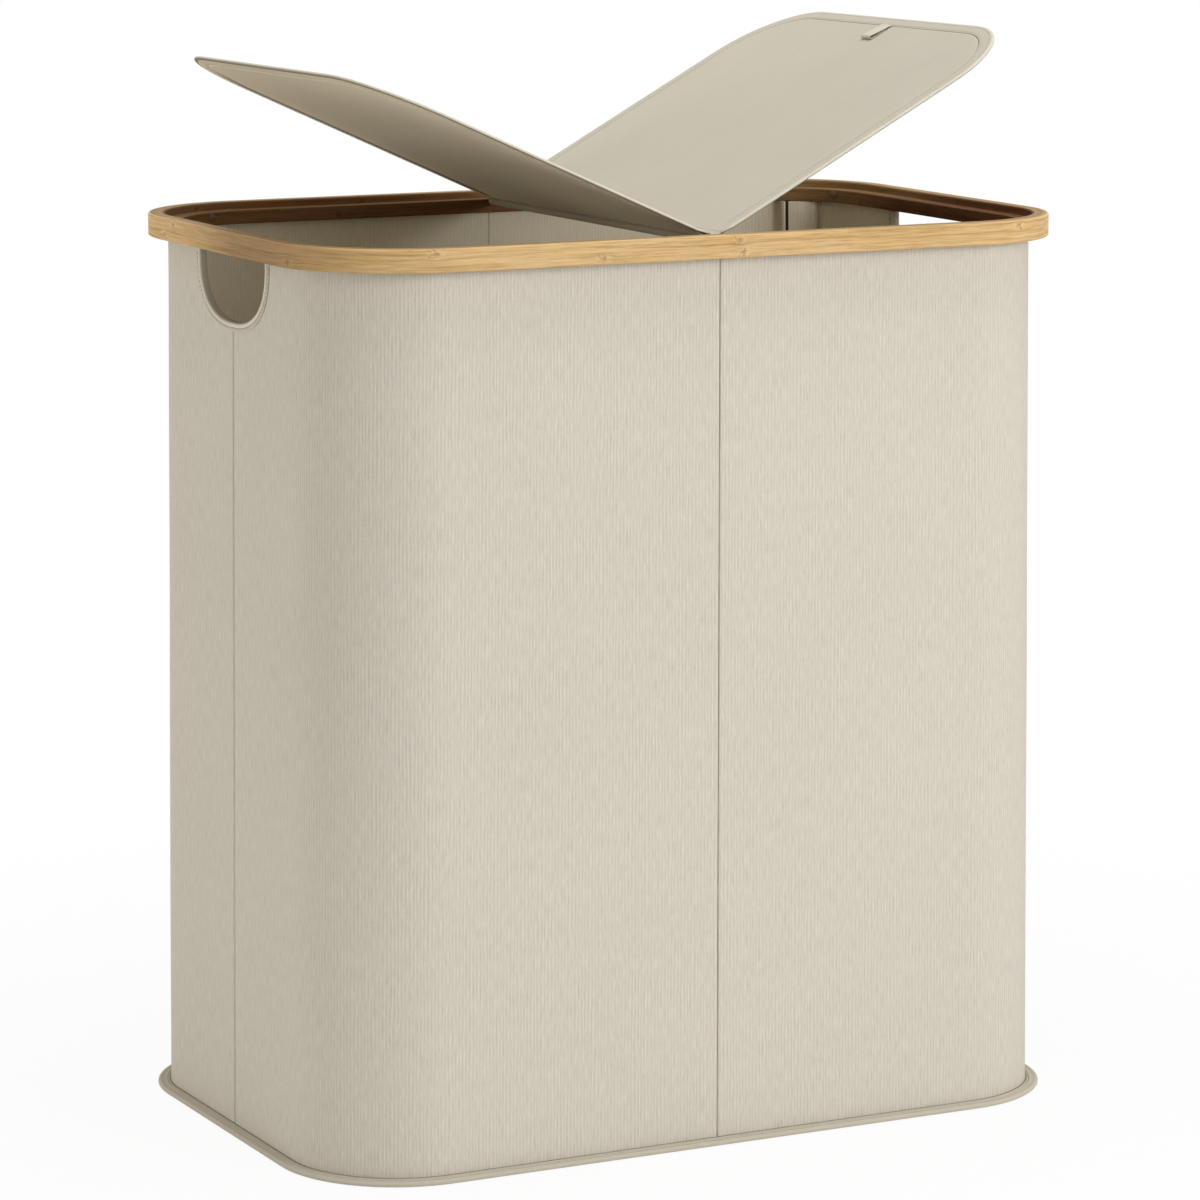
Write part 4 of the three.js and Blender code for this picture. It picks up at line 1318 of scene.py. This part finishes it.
lid_sheets = []
for side_name, under_tone in (("left", left_under_tone), ("right", lid_under_tone)):
    top_skin = lid_skin(f"{side_name}_lid_top", side_name, FOLD_REACH + GAP, lid_top_height,
                        lid_top_tone, 1, lid_cloth)
    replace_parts(top_skin, f"{side_name}_lid_cover")
    under_skin = lid_skin(f"{side_name}_lid_under", side_name, LID_UNDER_START, lid_under_height,
                          under_tone, -1, under_cloth)
    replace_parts(under_skin, f"{side_name}_lid_lining")
    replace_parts(lid_edge(side_name), f"{side_name}_lid_binding")
    fold_strip(side_name)
    pull_tab(side_name)
    lid_stitches(side_name, "top", lid_top_height, 1)
    lid_stitches(side_name, "under", lid_under_height, -1)
    lid_sheets += [top_skin, under_skin]


# Stage, lamps and camera

def new_nodes(owner):
    """The node tree of a material or world, emptied."""
    owner.use_nodes = True
    owner.node_tree.nodes.clear()
    return Nodes(owner.node_tree)


def seen_share(nodes, share):
    """share where the camera, a glossy or a transmitted ray looks, else 0."""
    rays = [nodes.add("LightPath", output=f"Is {kind} Ray") for kind in ("Camera", "Glossy", "Transmission")]
    return nodes.math("MAXIMUM", nodes.math("MAXIMUM", rays[0], rays[1]), rays[2]) * share


def show(nodes, output_kind, share, lit, seen):
    """The lit surface, and in its place the seen one where share says so."""
    output = nodes.tree.nodes.new(output_kind)
    nodes.link(nodes.add("MixShader", (seen_share(nodes, share), lit, seen)), output.inputs["Surface"])


def stage():
    """A pale floor that looks white, and a little less so near the object, where its shadow shows."""
    floor_mesh = bpy.data.meshes.new("floor")
    corners = [(-1, -1), (1, -1), (1, 1), (-1, 1)]
    points = [(x * FLOOR_REACH, y * FLOOR_REACH, FLOOR_LEVEL) for x, y in corners]
    floor_mesh.from_pydata(points, [], [(0, 1, 2, 3)])
    floor = placed("floor", floor_mesh)
    material = bpy.data.materials.new("pale_floor")
    nodes = new_nodes(material)
    away = nodes.add("VectorMath", [nodes.add("TexCoord", output="Object")], "Value", operation="LENGTH")
    share = nodes.smooth(away, 0.35, 1.1, 0.93, 1.0)
    lit = nodes.add("BsdfDiffuse", {"Color": (0.82, 0.82, 0.81)})
    glow = nodes.add("Emission", {"Color": (1, 1, 1), "Strength": 1.0})
    show(nodes, "ShaderNodeOutputMaterial", share, lit, glow)
    floor_mesh.materials.append(material)


def world():
    """A warm soft light all round, behind a background that looks white."""
    made = bpy.data.worlds.new("studio")
    bpy.context.scene.world = made
    nodes = new_nodes(made)
    light = nodes.add("Background", {"Color": (1.0, 0.97, 0.905), "Strength": 0.4})
    white = nodes.add("Background", {"Color": (1, 1, 1), "Strength": 1.0})
    show(nodes, "ShaderNodeOutputWorld", 1.0, light, white)


def aimed(name, data, location, direction):
    """A lamp or camera at a place, which looks in a direction."""
    obj = placed(name, data)
    obj.location = location
    obj.rotation_euler = Vector(direction).to_track_quat("-Z", "Y").to_euler()
    return obj


def lamp(name, location, target, size, power, color=(1, 1, 1)):
    data = bpy.data.lights.new(name, "AREA")
    data.shape = "DISK"
    data.size = size
    data.energy = power
    data.color = color
    aimed(name, data, location, Vector(target) - Vector(location))


def camera():
    data = bpy.data.cameras.new("camera")
    data.sensor_width = 36
    data.lens = CAMERA_LENS
    yaw, pitch = math.radians(CAMERA_YAW), math.radians(CAMERA_PITCH)
    look = (math.sin(yaw) * math.cos(pitch), math.cos(yaw) * math.cos(pitch), -math.sin(pitch))
    bpy.context.scene.camera = aimed("camera", data, CAMERA_PLACE, look)


stage()
world()
lamp("key", (1.2, -3.05, 1.3), (0.0, 0.0, 0.45), 1.5, 47.5, (1.0, 0.995, 0.99))
lamp("fill", (-2.3, 0.9, 0.2), (0.0, 0.0, 0.6), 1.3, 18.4, (1.0, 0.95, 0.85))
lamp("top", (0.2, -0.2, 3.2), (0.0, 0.0, 0.5), 2.2, 46)
camera()
bpy.context.scene.view_settings.view_transform = "Standard"
